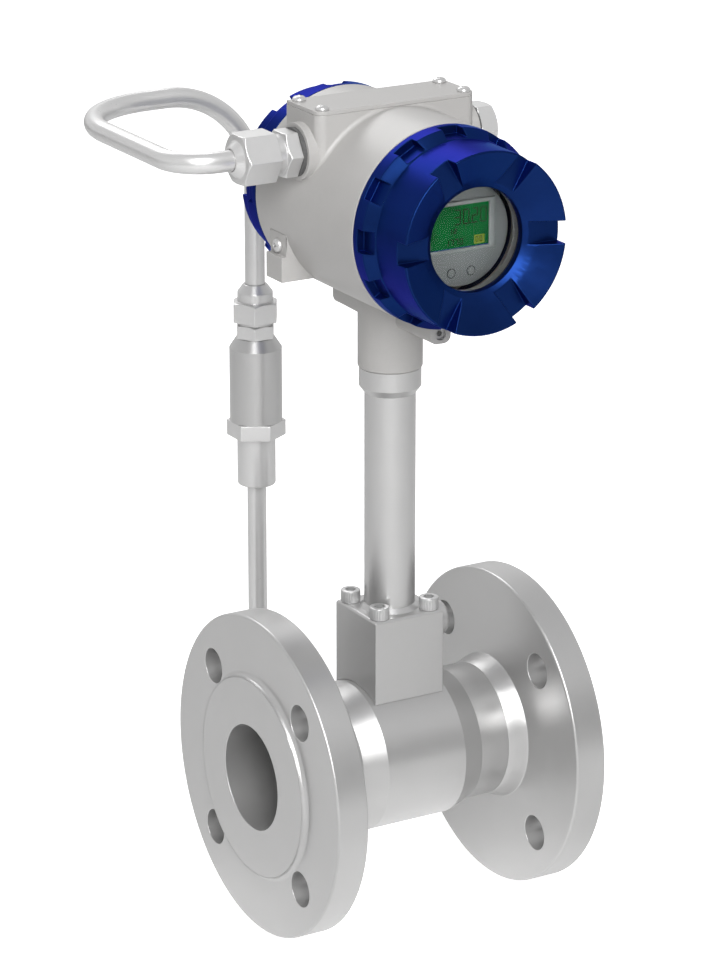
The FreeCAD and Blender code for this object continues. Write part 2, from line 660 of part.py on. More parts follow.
block = new_body("sensor_bonnet")
square = rectangle(sketch_on(block, "XY_Plane", block_foot), -half_side, half_side, -half_side, half_side)
pad(block, square, block_top - block_foot)
soften(block, "Chamfer", block_chamfer, lambda e: abs(e.BoundBox.ZMin - number(block_top)) < 1e-3)
pocket(block, circle(sketch_on(block, "YZ_Plane"), 0, 0, body_r), both_sides=True)
clamp = circle(sketch_on(block, "XY_Plane", clamp_z), 0, 0, seat_r - plug_gap)
pad(block, clamp, body_r - clamp_z + 2)
pocket(block, circle(sketch_on(block, "XY_Plane"), 0, 0, block_bore_r), backwards=True)
drilled = sketch_on(block, "XY_Plane")
for x, y in four_corners(half_pitch):
    circle(drilled, x, y, clearance_r)
pocket(block, drilled, backwards=True)
side_hole = circle(sketch_on(block, "YZ_Plane", half_side), 0, side_plug_z, side_shank_r + thread_gap)
pocket(block, side_hole, side_shank_long + 0.3)
place(block, middle, 0, 0)

side_plug = new_body("bonnet_side_plug")
revolve(side_plug, [
    (0, -side_shank_long), (side_shank_r, -side_shank_long), (side_shank_r, 0), (side_plug_r, 0),
    (side_plug_r, side_plug_long), (0, side_plug_long),
])
soften(side_plug, "Fillet", side_round, lambda edge: is_circle(edge, side_plug_r, "z", side_plug_long))
place(side_plug, middle + half_side, 0, side_plug_z, TO_OUTLET)


def socket_screw(head_r, head_high, shank_r, shank_long, key):
    """A socket cap screw whose head stands on its own XY plane."""
    head = primitive("Cylinder", Radius=head_r, Height=head_high)
    well = primitive("Prism", Polygon=6, Circumradius=key / math.sqrt(3), Height=head_high)
    place(well, 0, 0, head_high * 0.45)
    shank = primitive("Cylinder", Radius=shank_r, Height=shank_long)
    place(shank, 0, 0, -shank_long)
    return combine("Fuse", combine("Cut", head, well), shank)


cap_screws = []
for x, y in four_corners(half_pitch):
    screw = socket_screw(cap_head_r, cap_head_high, screw_r, screw_long, cap_key)
    place(screw, middle + x, y, block_top)
    cap_screws.append(screw)
group_of("bonnet_screws", cap_screws)

# The stem: a tube welded to the bonnet, and the adapter that screws into the head.

stem = new_body("stem_tube")
stem_r = stem_od / 2
revolve(stem, [
    (stem_r - stem_wall, block_top), (stem_r + weld_leg, block_top), (stem_r, block_top + weld_leg),
    (stem_r, stem_top), (stem_r - stem_wall, stem_top),
])
place(stem, middle, 0, 0)

adapter = new_body("stem_adapter")
collar_top = stem_top + collar_high
revolve(adapter, [
    (adapter_bore_r, stem_top), (stem_r, stem_top), (collar_od / 2, stem_top + collar_cone),
    (collar_od / 2, collar_top), (spigot_r, collar_top), (spigot_r, collar_top + spigot_long),
    (adapter_bore_r, collar_top + spigot_long),
])
place(adapter, middle, 0, 0)

# The head: a die-cast housing with a barrel across the pipe and a chamber at each end.

housing = new_body("head_housing")
local_top = crown_top - plate_thick - axis_z
crown_back = crown_long - crown_front
revolve(housing, [(0, -barrel_front), (barrel_r, -barrel_front), (barrel_r, barrel_back), (0, barrel_back)],
        "XY_Plane")
half_crown = crown_wide / 2
crown = rectangle(sketch_on(housing, "XY_Plane"), -half_crown, half_crown, -crown_front, crown_back)
pad(housing, crown, local_top)
soften(housing, "Fillet", crown_round, lambda e: (
    is_line(e, vector(0, 0, 1), y=-crown_front)
    and abs(abs(e.CenterOfMass.x) - number(half_crown)) < 1e-3))


def at_crown_foot(edge):
    """The edges where the crown runs out on the barrel."""
    box = edge.BoundBox
    in_reach = box.YMin > -number(crown_front) - 0.1 and box.YMax < number(crown_back) + 0.1
    between = box.ZMin > 5 and box.ZMax < number(local_top) - 1e-3
    upright = box.XLength < 1e-3 and box.YLength < 1e-3
    return in_reach and between and not upright


soften(housing, "Fillet", bead_r, at_crown_foot)
entry_local = entry_z - axis_z
boss = circle(sketch_on(housing, "YZ_Plane"), entry_y, entry_local, entry_boss_r)
pad(housing, boss, entry_face * 2, both_sides=True)
pad(housing, rectangle(sketch_on(housing, "XY_Plane"), -foot_half, foot_half, 0, foot_back),
    axis_z - foot_z, backwards=True)
soften(housing, "Fillet", foot_round,
       lambda e: is_line(e, vector(1, 0, 0), y=foot_back, z=foot_z - axis_z))
pad(housing, circle(sketch_on(housing, "XY_Plane"), 0, 0, neck_r), axis_z - collar_top, backwards=True)
soften(housing, "Chamfer", neck_bevel, lambda e: is_circle(e, neck_r, "z", collar_top - axis_z))
lug = rectangle(sketch_on(housing, "XZ_Plane"), -lug_half, lug_half, lug_z - axis_z, -chamber_r)
pad(housing, lug, barrel_front)
soften(housing, "Fillet", lug_round,
       lambda e: is_line(e, vector(0, 1, 0), z=lug_z - axis_z) and abs(abs(e.CenterOfMass.x) - number(lug_half)) < 1e-3)
earth = outline(sketch_on(housing, "XZ_Plane", -earth_y), [
    (-earth_x, earth_low - axis_z), (-earth_x, earth_mid - axis_z), (earth_step - earth_x, earth_mid - axis_z),
    (earth_step - earth_x, earth_high - axis_z), (-chamber_r * 0.6, earth_high - axis_z),
    (-chamber_r * 0.6, earth_low - axis_z),
])
pad(housing, earth, earth_long, backwards=True)
groove(housing, [
    (0, -wall_back), (chamber_r, -wall_back), (chamber_r, barrel_back - mouth_deep),
    (mouth_r, barrel_back - mouth_deep), (mouth_r, barrel_back + 1), (0, barrel_back + 1),
], "XY_Plane")
groove(housing, [
    (0, -wall_front), (chamber_r, -wall_front), (chamber_r, mouth_deep - barrel_front),
    (mouth_r, mouth_deep - barrel_front), (mouth_r, -barrel_front - 1), (0, -barrel_front - 1),
], "XY_Plane")
pocket(housing, circle(sketch_on(housing, "YZ_Plane"), entry_y, entry_local, entry_r), both_sides=True)
neck_bore_top = collar_top + spigot_long + 1 - axis_z
pocket(housing, circle(sketch_on(housing, "XY_Plane", neck_bore_top), 0, 0, spigot_r + thread_gap))
pocket(housing, circle(sketch_on(housing, "XY_Plane", neck_bore_top), 0, 0, passage_r),
       -neck_bore_top - chamber_r + 4, backwards=True)
pocket(housing, circle(sketch_on(housing, "XZ_Plane", wall_front), link_x, -link_z, link_r + thread_gap),
       wall_front)
pocket(housing, circle(sketch_on(housing, "XZ_Plane", barrel_front), 0, lock_z - axis_z, lock_r + thread_gap),
       lock_hole_long)
earth_hole_y = earth_y + earth_long / 2
earth_hole_z = (earth_mid * 0.6 + earth_high * 0.4) - axis_z
pocket(housing, circle(sketch_on(housing, "YZ_Plane", earth_step - earth_x), earth_hole_y, earth_hole_z,
                       earth_screw_r + thread_gap), earth_screw_long, backwards=True)
plate_holes = sketch_on(housing, "XY_Plane", local_top)
plate_spots = [(side * (half_crown - plate_inset_x), y)
               for side in (-1, 1) for y in (plate_inset - crown_front, crown_back - plate_inset)]
for x, y in plate_spots:
    circle(plate_holes, x, y, plate_screw_r + thread_gap)
pocket(housing, plate_holes, plate_screw_long)
place(housing, middle, 0, axis_z)

# The crown's plate, bare, with four cross-recess screws.
plate = new_body("crown_plate")
pad(plate, rectangle(sketch_on(plate, "XY_Plane"), -half_crown, half_crown, -crown_front, crown_back),
    plate_thick)
soften(plate, "Fillet", crown_round,
       lambda e: is_line(e, vector(0, 0, 1), y=-crown_front))
holes = sketch_on(plate, "XY_Plane")
for x, y in plate_spots:
    circle(holes, x, y, plate_screw_r + 0.2)
pocket(plate, holes, backwards=True)
place(plate, middle, 0, crown_top - plate_thick)


def cross_screw(head_r, head_high, shank_r, shank_long):
    """A pan-head screw with a cross recess, standing on its own XY plane."""
    rim = primitive("Cylinder", Radius=head_r, Height=head_high * 0.5)
    dome = primitive("Cone", Radius1=head_r, Radius2=head_r * 0.62, Height=head_high * 0.5)
    place(dome, 0, 0, head_high * 0.5)
    slots = []
    for turn in (0, 90):
        slot = primitive("Box", Length=head_r * 1.1, Width=head_r * 0.24, Height=head_high)
        quarter = FreeCAD.Rotation(vector(0, 0, 1), turn)
        corner = quarter.multVec(vector(-number(head_r) * 0.55, -number(head_r) * 0.12, 0))
        place(slot, head_r * (corner.x / number(head_r)), head_r * (corner.y / number(head_r)),
              head_high * 0.45, quarter)
        slots.append(slot)
    head = combine("Cut", combine("Fuse", rim, dome), combine("Fuse", slots[0], slots[1]))
    shank = primitive("Cylinder", Radius=shank_r, Height=shank_long)
    place(shank, 0, 0, -shank_long)
    return combine("Fuse", head, shank)


plate_screws = []
for x, y in plate_spots:
    screw = cross_screw(pan_r, pan_high, plate_screw_r, plate_screw_long)
    place(screw, middle + x, y, crown_top)
    plate_screws.append(screw)
group_of("crown_plate_screws", plate_screws)

earth_screw = cross_screw(earth_head_r, earth_head_high, earth_screw_r, earth_screw_long - 0.5)
place(earth_screw, middle - earth_x + earth_step, earth_hole_y, earth_hole_z + axis_z, TO_INLET)
node(earth_screw, "earth_screw")

lock_pin = primitive("Cylinder", Radius=lock_r, Height=lock_screw_long)
lock_well = primitive("Prism", Polygon=6, Circumradius=lock_r * 0.55, Height=lock_screw_long)
place(lock_well, 0, 0, lock_screw_long * 0.65)
lock_screw = combine("Cut", lock_pin, lock_well)
place(lock_screw, middle, lock_inset + lock_screw_long - barrel_front, lock_z, TO_FRONT)
node(lock_screw, "cover_lock_screw")

# The covers: cast rings that screw into the chambers, notched for a strap wrench.
sleeve_r = chamber_r - thread_fit
sleeve_in = sleeve_r - thread_wall


def cover(label, inner, outer, rim_notch_floor, rim_notch_start, height):
    """A cover on its own Z axis: base ring, taper, round wall, and two rings of notches."""
    body = new_body(label)
    revolve(body, inner + [
        (sleeve_in, -thread_long), (sleeve_r, -thread_long), (sleeve_r, 0), (skirt_r, 0),
        (skirt_r, skirt_high), (grip_r, grip_z), (grip_r, height - rim_bevel), (grip_r - rim_bevel, height),
    ] + outer)
    skirt_notch = rectangle(sketch_on(body, "XZ_Plane"), notch_floor_r, skirt_r + 2, notch_start, grip_z + 1)
    ring_of(body, pocket(body, skirt_notch, notch_wide, both_sides=True), "Z_Axis", 12)
    rim_notch = rectangle(sketch_on(body, "XZ_Plane"), rim_notch_start, skirt_r, rim_notch_floor, height + 2)
    ring_of(body, pocket(body, rim_notch, notch_wide, both_sides=True), "Z_Axis", 6)
    return body


front_cover = cover(
    "front_cover",
    [(window_r, lip_z), (glass_seat_r, lip_z), (glass_seat_r, glass_seat_z), (sleeve_in, glass_seat_z - 3)],
    [(rim_inner_r, front_high - rim_drop), (window_r, front_high - window_drop)],
    front_high - front_notch_drop, window_r + 1, front_high)
place(front_cover, middle, -barrel_front - cover_gap, axis_z, TO_FRONT)

dish_r = rim_inner_r + 3
back_cover = cover(
    "back_cover",
    [(0, back_floor), (sleeve_in, back_floor)],
    [(dish_r, back_high - back_dish), (0, back_high - back_dish)],
    back_high - back_notch_drop, dish_r - 4, back_high)
place(back_cover, middle, barrel_back + cover_gap, axis_z, TO_BACK)

seal_mean_r = chamber_r + (mouth_r - chamber_r) * 0.5
seal_depth = (mouth_deep - cover_gap) / 2
for label, y, turn in (("front_cover_seal", -barrel_front + seal_depth, TO_FRONT),
                       ("back_cover_seal", barrel_back - seal_depth, TO_BACK)):
    ring = node(primitive("Torus", Radius1=seal_mean_r, Radius2=seal_r), label)
    place(ring, middle, y, axis_z, turn)

# The window: toughened glass against the lip, held from inside by a screwed ring.
glass_r = glass_seat_r - glass_gap
glass_top = lip_z - glass_gasket
glass_foot = glass_top - glass_thick
front_foot = -barrel_front - cover_gap

window_gasket = new_body("window_gasket")
revolve(window_gasket, [(window_r + 0.3, glass_top), (glass_r, glass_top), (glass_r, lip_z),
                        (window_r + 0.3, lip_z)])
place(window_gasket, middle, front_foot, axis_z, TO_FRONT)

glass = new_body("window_glass")
revolve(glass, [(0, glass_foot), (glass_r, glass_foot), (glass_r, glass_top), (0, glass_top)])
place(glass, middle, front_foot, axis_z, TO_FRONT)

retainer = new_body("glass_retaining_ring")
revolve(retainer, [(ring_in_r, glass_foot - ring_high), (glass_r, glass_foot - ring_high),
                   (glass_r, glass_foot), (window_r + 1, glass_foot)])
place(retainer, middle, front_foot, axis_z, TO_FRONT)

# The display: an electronics board on pillars, the display can, its panel and two keys.


def pillars(label, from_y, length, turn):
    reach = pillar_circle / 2 * math.cos(math.pi / 4)
    posts = []
    for x, z in four_corners(reach):
        post = primitive("Cylinder", Radius=pillar_r, Height=length)
        place(post, middle + x, from_y, axis_z + z, turn)
        posts.append(post)
    return group_of(label, posts)


pillars("amplifier_pillars", -wall_front, front_board_y - wall_front, TO_FRONT)
board = node(primitive("Cylinder", Radius=board_r, Height=board_thick), "amplifier_board")
place(board, middle, -front_board_y, axis_z, TO_FRONT)

can = new_body("display_can")
can_foot = front_board_y + board_thick
revolve(can, [(0, can_foot), (can_r, can_foot), (can_r, can_step), (face_r, can_step), (face_r, face_y),
              (0, face_y)])
soften(can, "Chamfer", 0.8, lambda edge: is_circle(edge, face_r, "z", face_y))
opening = sketch_on(can, "XY_Plane", face_y)
rectangle(opening, -panel_wide / 2, panel_wide / 2, panel_z - panel_high / 2, panel_z + panel_high / 2)
pocket(can, opening, panel_sunk + panel_thick)
wells = sketch_on(can, "XY_Plane", face_y)
for side in (-1, 1):
    circle(wells, side * key_x, -key_z, key_r + key_gap)
pocket(can, wells, key_long - key_proud + key_travel + 0.3)
place(can, middle, 0, axis_z, TO_FRONT)

panel = primitive("Box", Length=panel_wide - key_gap * 2, Width=panel_thick, Height=panel_high - key_gap * 2)
node(panel, "display_panel")
place(panel, middle - panel_wide / 2 + key_gap, panel_sunk - face_y,
      axis_z + panel_z - panel_high / 2 + key_gap)

for label, side in (("left_key", -1), ("right_key", 1)):
    key = new_body(label)
    revolve(key, [(0, 0), (key_r, 0), (key_r, key_long), (0, key_long)])
    soften(key, "Fillet", 0.3, lambda edge: is_circle(edge, key_r, "z", key_long))
    place(key, middle + side * key_x, key_long - key_proud - face_y, axis_z - key_z, TO_FRONT)

# The back chamber: the terminal board on pillars, its block and the block's screws.

pillars("terminal_pillars", -wall_back, back_board_y + wall_back, TO_BACK)
back_board = node(primitive("Cylinder", Radius=board_r, Height=board_thick), "terminal_board")
place(back_board, middle, back_board_y, axis_z, TO_BACK)

terminals = new_body("terminal_block")
terminal_foot = back_board_y + board_thick
half_wide = terminal_wide / 2
half_high = terminal_high / 2
pad(terminals, rectangle(sketch_on(terminals, "XY_Plane", terminal_foot), -half_wide, half_wide,
                         terminal_drop - half_high, terminal_drop + half_high), terminal_deep)
well = circle(sketch_on(terminals, "XY_Plane", terminal_foot + terminal_deep), terminal_pitch * -2.5,
              terminal_drop + well_rise, well_r)
mouth = rectangle(sketch_on(terminals, "XZ_Plane", -terminal_drop - half_high),
                  terminal_pitch * -2.5 - well_r, terminal_pitch * -2.5 + well_r,
                  terminal_foot + mouth_start, terminal_foot + mouth_start + mouth_high)
row = [pocket(terminals, well, well_deep), pocket(terminals, mouth, half_high - 1, backwards=True)]
repeat = terminals.newObject("PartDesign::LinearPattern", "LinearPattern")
repeat.Originals = row
repeat.Direction = (origin_part(terminals, "X_Axis"), [""])
bind(repeat, "Length", terminal_pitch * 5)
repeat.Occurrences = 6
terminals.Tip = repeat
doc.recompute()
place(terminals, middle, 0, axis_z, TO_BACK)

terminal_screws = []
for i in range(6):
    pin_screw = primitive("Cylinder", Radius=terminal_screw_r, Height=terminal_screw_high)
    slot = primitive("Box", Length=terminal_screw_r * 3, Width=0.8, Height=1)
    place(slot, terminal_screw_r * -1.5, -0.4, terminal_screw_high - 0.8)
    slotted = combine("Cut", pin_screw, slot)
    place(slotted, middle + terminal_pitch * (i - 2.5), terminal_foot + terminal_deep - well_deep,
          axis_z - terminal_drop - well_rise, TO_BACK)
    terminal_screws.append(slotted)
group_of("terminal_screws", terminal_screws)


link = new_body("board_link")
revolve(link, [
    (0, -back_board_y), (link_r - 1, -back_board_y), (link_r - 1, wall_back - 2), (link_flange, wall_back - 2),
    (link_flange, wall_back), (link_r, wall_back), (link_r, front_board_y), (0, front_board_y),
])
place(link, middle + link_x, 0, axis_z - link_z, TO_FRONT)


def run_of_tube(start, legs):
    """A path of straight runs and tangent arcs: each leg is a corner point and its bend radius."""
    points = [start] + [corner for corner, radius in legs]
    edges = []
    here = start
    for i, (corner, radius) in enumerate(legs):
        if i == len(legs) - 1:
            edges.append(Part.LineSegment(here, corner).toShape())
            break
        into = (corner - points[i]).normalize()
        out = (points[i + 2] - corner).normalize()
        reach = radius * math.tan(into.getAngle(out) / 2)
        bend_start = corner - into * reach
        bend_end = corner + out * reach
        inward = (out - into).normalize()
        half = math.cos(into.getAngle(out) / 2)
        middle_point = corner + inward * (radius / half - radius)
        edges.append(Part.LineSegment(here, bend_start).toShape())
        edges.append(Part.Arc(bend_start, middle_point, bend_end).toShape())
        here = bend_end
    return Part.Wire(edges)


def swept_tube(label, path, outer_r, inner_r=0):
    """A tube of round section along a path, hollow when it has an inner radius."""
    start = path.Edges[0].Vertexes[0].Point
    ahead = path.Edges[0].Vertexes[1].Point - start

    def sweep(radius):
        ring = Part.Wire([Part.Circle(start, ahead, radius).toShape()])
        return path.makePipeShell([ring], True, False)

    solid = sweep(outer_r)
    if inner_r:
        solid = solid.cut(sweep(inner_r))
    solid = solid.Solids[0]
    ideal = math.pi * (outer_r ** 2 - inner_r ** 2) * path.Length
    if abs(solid.Volume - ideal) > 0.02 * ideal:
        raise ValueError("%s has the wrong volume" % label)
    tube = doc.addObject("Part::Feature", label)
    tube.Shape = solid
    tube.Placement = FreeCAD.Placement()
    return node(tube, label)


# The sensor's lead runs up the stem and turns back to the terminal board.
mid_x = number(middle)
swept_tube("sensor_lead", run_of_tube(vector(mid_x, 0, number(stub_top)), [
    (vector(mid_x, 0, number(lead_top)), number(lead_bend)),
    (vector(mid_x, number(back_board_y), number(lead_top)), 0),
]), number(lead_r))

# The left cable entry: seal ring, adapter, ferrule and cap nut, all on the entry's axis.
conduit_r = conduit_od / 2
hole_r = conduit_r + conduit_fit


def trim_hex(body, across_flats, end, inward):
    """Turn the corners of a hexagon's end down to its flats, at thirty degrees."""
    flat = across_flats / 2
    corner = across_flats / math.sqrt(3) + 1
    slope = math.tan(math.radians(30))
    fall = (corner - flat) * (slope if inward > 0 else -slope)
    clear = end - inward * 0.5
    return groove(body, [(flat, end), (corner, end + fall), (corner, clear), (flat, clear)])


def entry_adapter(label, across_flats, hex_long, neck_r_, neck_long, thread_r, thread_long_, turn):
    """Thread below the origin plane, hexagon on it, then a round neck and a threaded nose."""
    body = new_body(label)
    pad(body, hexagon(sketch_on(body, "XY_Plane"), across_flats, turn), hex_long)
    trim_hex(body, across_flats, hex_long, -1)
    top = hex_long + neck_long
    revolve(body, [
        (0, -thread_long_), (thread_r, -thread_long_), (thread_r, 0), (neck_r_, 0), (neck_r_, top),
        (nose_r, top), (nose_r, top + nose_long), (0, top + nose_long),
    ])
    pocket(body, circle(sketch_on(body, "XY_Plane", -thread_long_), 0, 0, hole_r), backwards=True)
    return body


def cap_nut(label, across_flats, hex_long, waist, collar_r, collar_long, turn):
    """Open end on the origin plane, hexagon, an optional round waist and a cone round the conduit."""
    body = new_body(label)
    pad(body, hexagon(sketch_on(body, "XY_Plane"), across_flats, turn), hex_long)
    trim_hex(body, across_flats, hex_long, -1)
    top = hex_long + waist
    revolve(body, [(0, hex_long / 2), (collar_r, hex_long / 2), (collar_r, top),
                   (hole_r + 0.8, top + collar_long), (0, top + collar_long)])
    pocket(body, circle(sketch_on(body, "XY_Plane"), 0, 0, nose_r + thread_gap), nut_shoulder, backwards=True)
    pocket(body, circle(sketch_on(body, "XY_Plane"), 0, 0, hole_r), backwards=True)
    return body


def ferrule(label):
    """A double-coned ring that grips the conduit between the nose and the nut's shoulder."""
    body = new_body(label)
    low = nose_long + ferrule_gap
    high = nut_shoulder - ferrule_gap
    revolve(body, [(hole_r, low), (nose_r - 1, low), (nose_r - ferrule_gap, (low + high) / 2),
                   (nose_r - 1, high), (hole_r, high)])
    return body


left_face = middle - entry_face
adapter_x = left_face - seal_thick
nut_x = adapter_x - fit_hex - fit_neck
seal = new_body("entry_seal_ring")
revolve(seal, [(entry_r, 0), (seal_out_r, 0), (seal_out_r, seal_thick), (entry_r, seal_thick)])
place(seal, left_face, entry_y, entry_z, TO_INLET)
left_adapter = entry_adapter("entry_adapter", fit_af, fit_hex, fit_neck_r, fit_neck,
                             entry_r - thread_gap, entry_thread_long + seal_thick, 90)
place(left_adapter, adapter_x, entry_y, entry_z, TO_INLET)
left_nut = cap_nut("entry_nut", nut_af, nut_long, 0, nut_collar_r, nut_collar_long, 90)
place(left_nut, nut_x, entry_y, entry_z, TO_INLET)
place(ferrule("entry_ferrule"), nut_x, entry_y, entry_z, TO_INLET)

# The right cable entry is closed by a hexagon plug on its own seal ring.
right_face = middle + entry_face
right_seal = new_body("blank_plug_seal")
revolve(right_seal, [(entry_r, 0), (seal_out_r, 0), (seal_out_r, seal_thick), (entry_r, seal_thick)])
place(right_seal, right_face, entry_y, entry_z, TO_OUTLET)
blank = new_body("blank_plug")
pad(blank, hexagon(sketch_on(blank, "XY_Plane"), blank_af, 90), blank_long)
trim_hex(blank, blank_af, blank_long, -1)
blank_thread = entry_thread_long + seal_thick
revolve(blank, [(0, -blank_thread), (entry_r - thread_gap, -blank_thread), (entry_r - thread_gap, 1), (0, 1)])
place(blank, right_face + seal_thick, entry_y, entry_z, TO_OUTLET)

# The pressure sensor hangs from the conduit on a vertical axis behind the meter.
stack_x = middle + sensor_x
case_in = case_r - case_wall

case = new_body("pressure_sensor_case")
thread_hole = entry_r - 1
revolve(case, [
    (case_in, case_foot), (case_r, case_foot), (case_r, case_shoulder), (case_top_r, case_top),
    (thread_hole, case_top), (thread_hole, case_top - top_thread - 0.5),
    (case_in, case_shoulder - case_wall * 2),
])
place(case, stack_x, sensor_y, 0)

top_adapter = entry_adapter("sensor_top_adapter", top_af, top_hex, top_af / 2 - 0.6, top_neck,
                            thread_hole - thread_gap, top_thread, 0)
place(top_adapter, stack_x, sensor_y, case_top)
top_nut_z = case_top + top_hex + top_neck
top_nut = cap_nut("sensor_top_nut", top_nut_af, top_nut_long, top_waist, top_cone_r, top_cone, 0)
place(top_nut, stack_x, sensor_y, top_nut_z)
place(ferrule("sensor_top_ferrule"), stack_x, sensor_y, top_nut_z)

base = new_body("pressure_connection")
pad(base, hexagon(sketch_on(base, "XY_Plane", base_low), base_af, 90), case_foot - base_low)
revolve(base, [
    (0, base_foot), (base_r, base_foot), (base_r, base_low + 1), (case_in - spigot_gap, base_low + 1),
    (case_in - spigot_gap, case_foot + spigot_up), (0, case_foot + spigot_up),
])
soften(base, "Fillet", base_round, lambda edge: is_circle(edge, base_r, "z", base_foot))
pocket(base, circle(sketch_on(base, "XY_Plane", base_foot), 0, 0, pipe_od / 2), pipe_socket, backwards=True)
pocket(base, circle(sketch_on(base, "XY_Plane", base_foot), 0, 0, tap_r), backwards=True)
place(base, stack_x, sensor_y, 0)

cell = node(primitive("Cylinder", Radius=cell_r, Height=cell_high), "pressure_cell")
place(cell, stack_x, sensor_y, case_foot + spigot_up)

# The conduit: level loop from the entry, back along the meter, and down to the sensor.
loop_corner_x = mid_x - number(loop_x)
level = number(entry_z)
conduit_start = number(nut_x) - number(nose_long) + number(conduit_in)
conduit_end = number(top_nut_z) + number(nose_long) - number(conduit_in)
loop = [
    (vector(loop_corner_x, number(entry_y), level), number(loop_small)),
    (vector(loop_corner_x, number(sensor_y), level), number(loop_large)),
    (vector(number(stack_x), number(sensor_y), level), number(loop_large)),
]
swept_tube("conduit_tube", run_of_tube(
    vector(conduit_start, number(entry_y), level),
    loop + [(vector(number(stack_x), number(sensor_y), conduit_end), 0)],
), number(conduit_r), number(conduit_r - conduit_wall))

# The pressure cell's lead lies in the conduit and ends at the terminal board.
signal_end_x = mid_x - number(signal_x)
swept_tube("pressure_lead", run_of_tube(
    vector(signal_end_x, number(back_board_y), level),
    [(vector(signal_end_x, number(entry_y), level), number(lead_bend) - 1)] + loop
    + [(vector(number(stack_x), number(sensor_y), number(case_foot + spigot_up + cell_high)), 0)],
), number(signal_r))

# The impulse pipe: from the body's back, level, then up into the sensor's foot.
pipe_offset = number(stack_x) - mid_x
swept_tube("impulse_pipe", run_of_tube(vector(mid_x, number(tap_boss_y - pipe_socket), 0), [
    (vector(mid_x + pipe_offset, number(sensor_y), 0), number(pipe_bend)),
    (vector(number(stack_x), number(sensor_y), number(base_foot + pipe_socket)), 0),
]), number(pipe_od / 2), number(pipe_od / 2 - pipe_wall))

doc.recompute()
for thing in doc.Objects:
    if any(word in thing.State for word in ("Invalid", "Error")):
        raise RuntimeError("%s (%s) failed: %s" % (thing.Label, thing.Name, thing.State))
for thing in nodes:
    if thing.Shape.isNull() or not thing.Shape.isValid() or not thing.Shape.Solids:
        raise RuntimeError("%s has no sound solid" % thing.Label)

os.makedirs("parts", exist_ok=True)
for thing in nodes:
    thing.Shape.exportStep("parts/%s.step" % thing.Label)
print("%d pieces written" % len(nodes))
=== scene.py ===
import math

import bmesh
import bpy
from mathutils import Matrix, Vector


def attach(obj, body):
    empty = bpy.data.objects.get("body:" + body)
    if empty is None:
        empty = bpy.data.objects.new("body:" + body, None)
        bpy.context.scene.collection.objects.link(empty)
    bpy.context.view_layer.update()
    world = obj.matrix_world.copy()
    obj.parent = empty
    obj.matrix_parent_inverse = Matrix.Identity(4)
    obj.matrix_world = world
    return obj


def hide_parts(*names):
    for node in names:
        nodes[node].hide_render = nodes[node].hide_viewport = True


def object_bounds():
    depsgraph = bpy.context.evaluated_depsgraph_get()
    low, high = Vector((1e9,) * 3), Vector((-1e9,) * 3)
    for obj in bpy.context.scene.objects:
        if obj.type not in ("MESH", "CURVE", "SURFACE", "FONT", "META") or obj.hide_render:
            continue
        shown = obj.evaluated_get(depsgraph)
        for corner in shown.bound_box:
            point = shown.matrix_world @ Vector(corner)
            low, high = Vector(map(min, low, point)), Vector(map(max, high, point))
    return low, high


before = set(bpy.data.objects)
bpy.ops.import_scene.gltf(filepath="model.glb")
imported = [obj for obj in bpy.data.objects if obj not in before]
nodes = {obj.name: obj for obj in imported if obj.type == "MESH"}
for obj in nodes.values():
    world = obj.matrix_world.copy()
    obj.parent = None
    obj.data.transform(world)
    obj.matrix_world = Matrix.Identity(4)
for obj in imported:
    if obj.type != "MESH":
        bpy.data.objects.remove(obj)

cad_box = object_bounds()

# The two flanges and the body between them are turned from stainless steel, then lightly bead
# blasted. The pipe's gasket seals on the raised faces, which keep the fine ring marks of the lathe.


class Wire:
    """An output of a node in a material, and whatever is worked out from it."""

    def __init__(self, tree, socket=None):
        self.tree = tree
        self.socket = socket

    def node(self, kind, settings=(), sockets=(), output=0):
        made = self.tree.nodes.new("ShaderNode" + kind)
        for name, value in dict(settings).items():
            if name == "stops":
                elements = made.color_ramp.elements
                for i, (position, colour) in enumerate(value):
                    stop = elements[i] if i < 2 else elements.new(position)
                    stop.position = position
                    stop.color = colour
            else:
                setattr(made, name, value)
        for name, value in dict(sockets).items():
            if isinstance(value, Wire):
                self.tree.links.new(value.socket, made.inputs[name])
            else:
                made.inputs[name].default_value = value
        return Wire(self.tree, made.outputs[output])

    def maths(self, operation, *values):
        return self.node("Math", {"operation": operation}, dict(enumerate(values)))

    def parts(self):
        """The x, y and z of a vector."""
        return [self.node("SeparateXYZ", {}, {0: self}, i) for i in range(3)]

    def __add__(self, other):
        return self.maths("ADD", self, other)

    def __sub__(self, other):
        return self.maths("SUBTRACT", self, other)

    def __rsub__(self, other):
        return self.maths("SUBTRACT", other, self)

    def __mul__(self, other):
        return self.maths("MULTIPLY", self, other)

    def __pow__(self, other):
        return self.maths("POWER", self, other)

    def __gt__(self, other):
        return self.maths("GREATER_THAN", self, other)

    def __lt__(self, other):
        return self.maths("LESS_THAN", self, other)

    __radd__ = __add__
    __rmul__ = __mul__


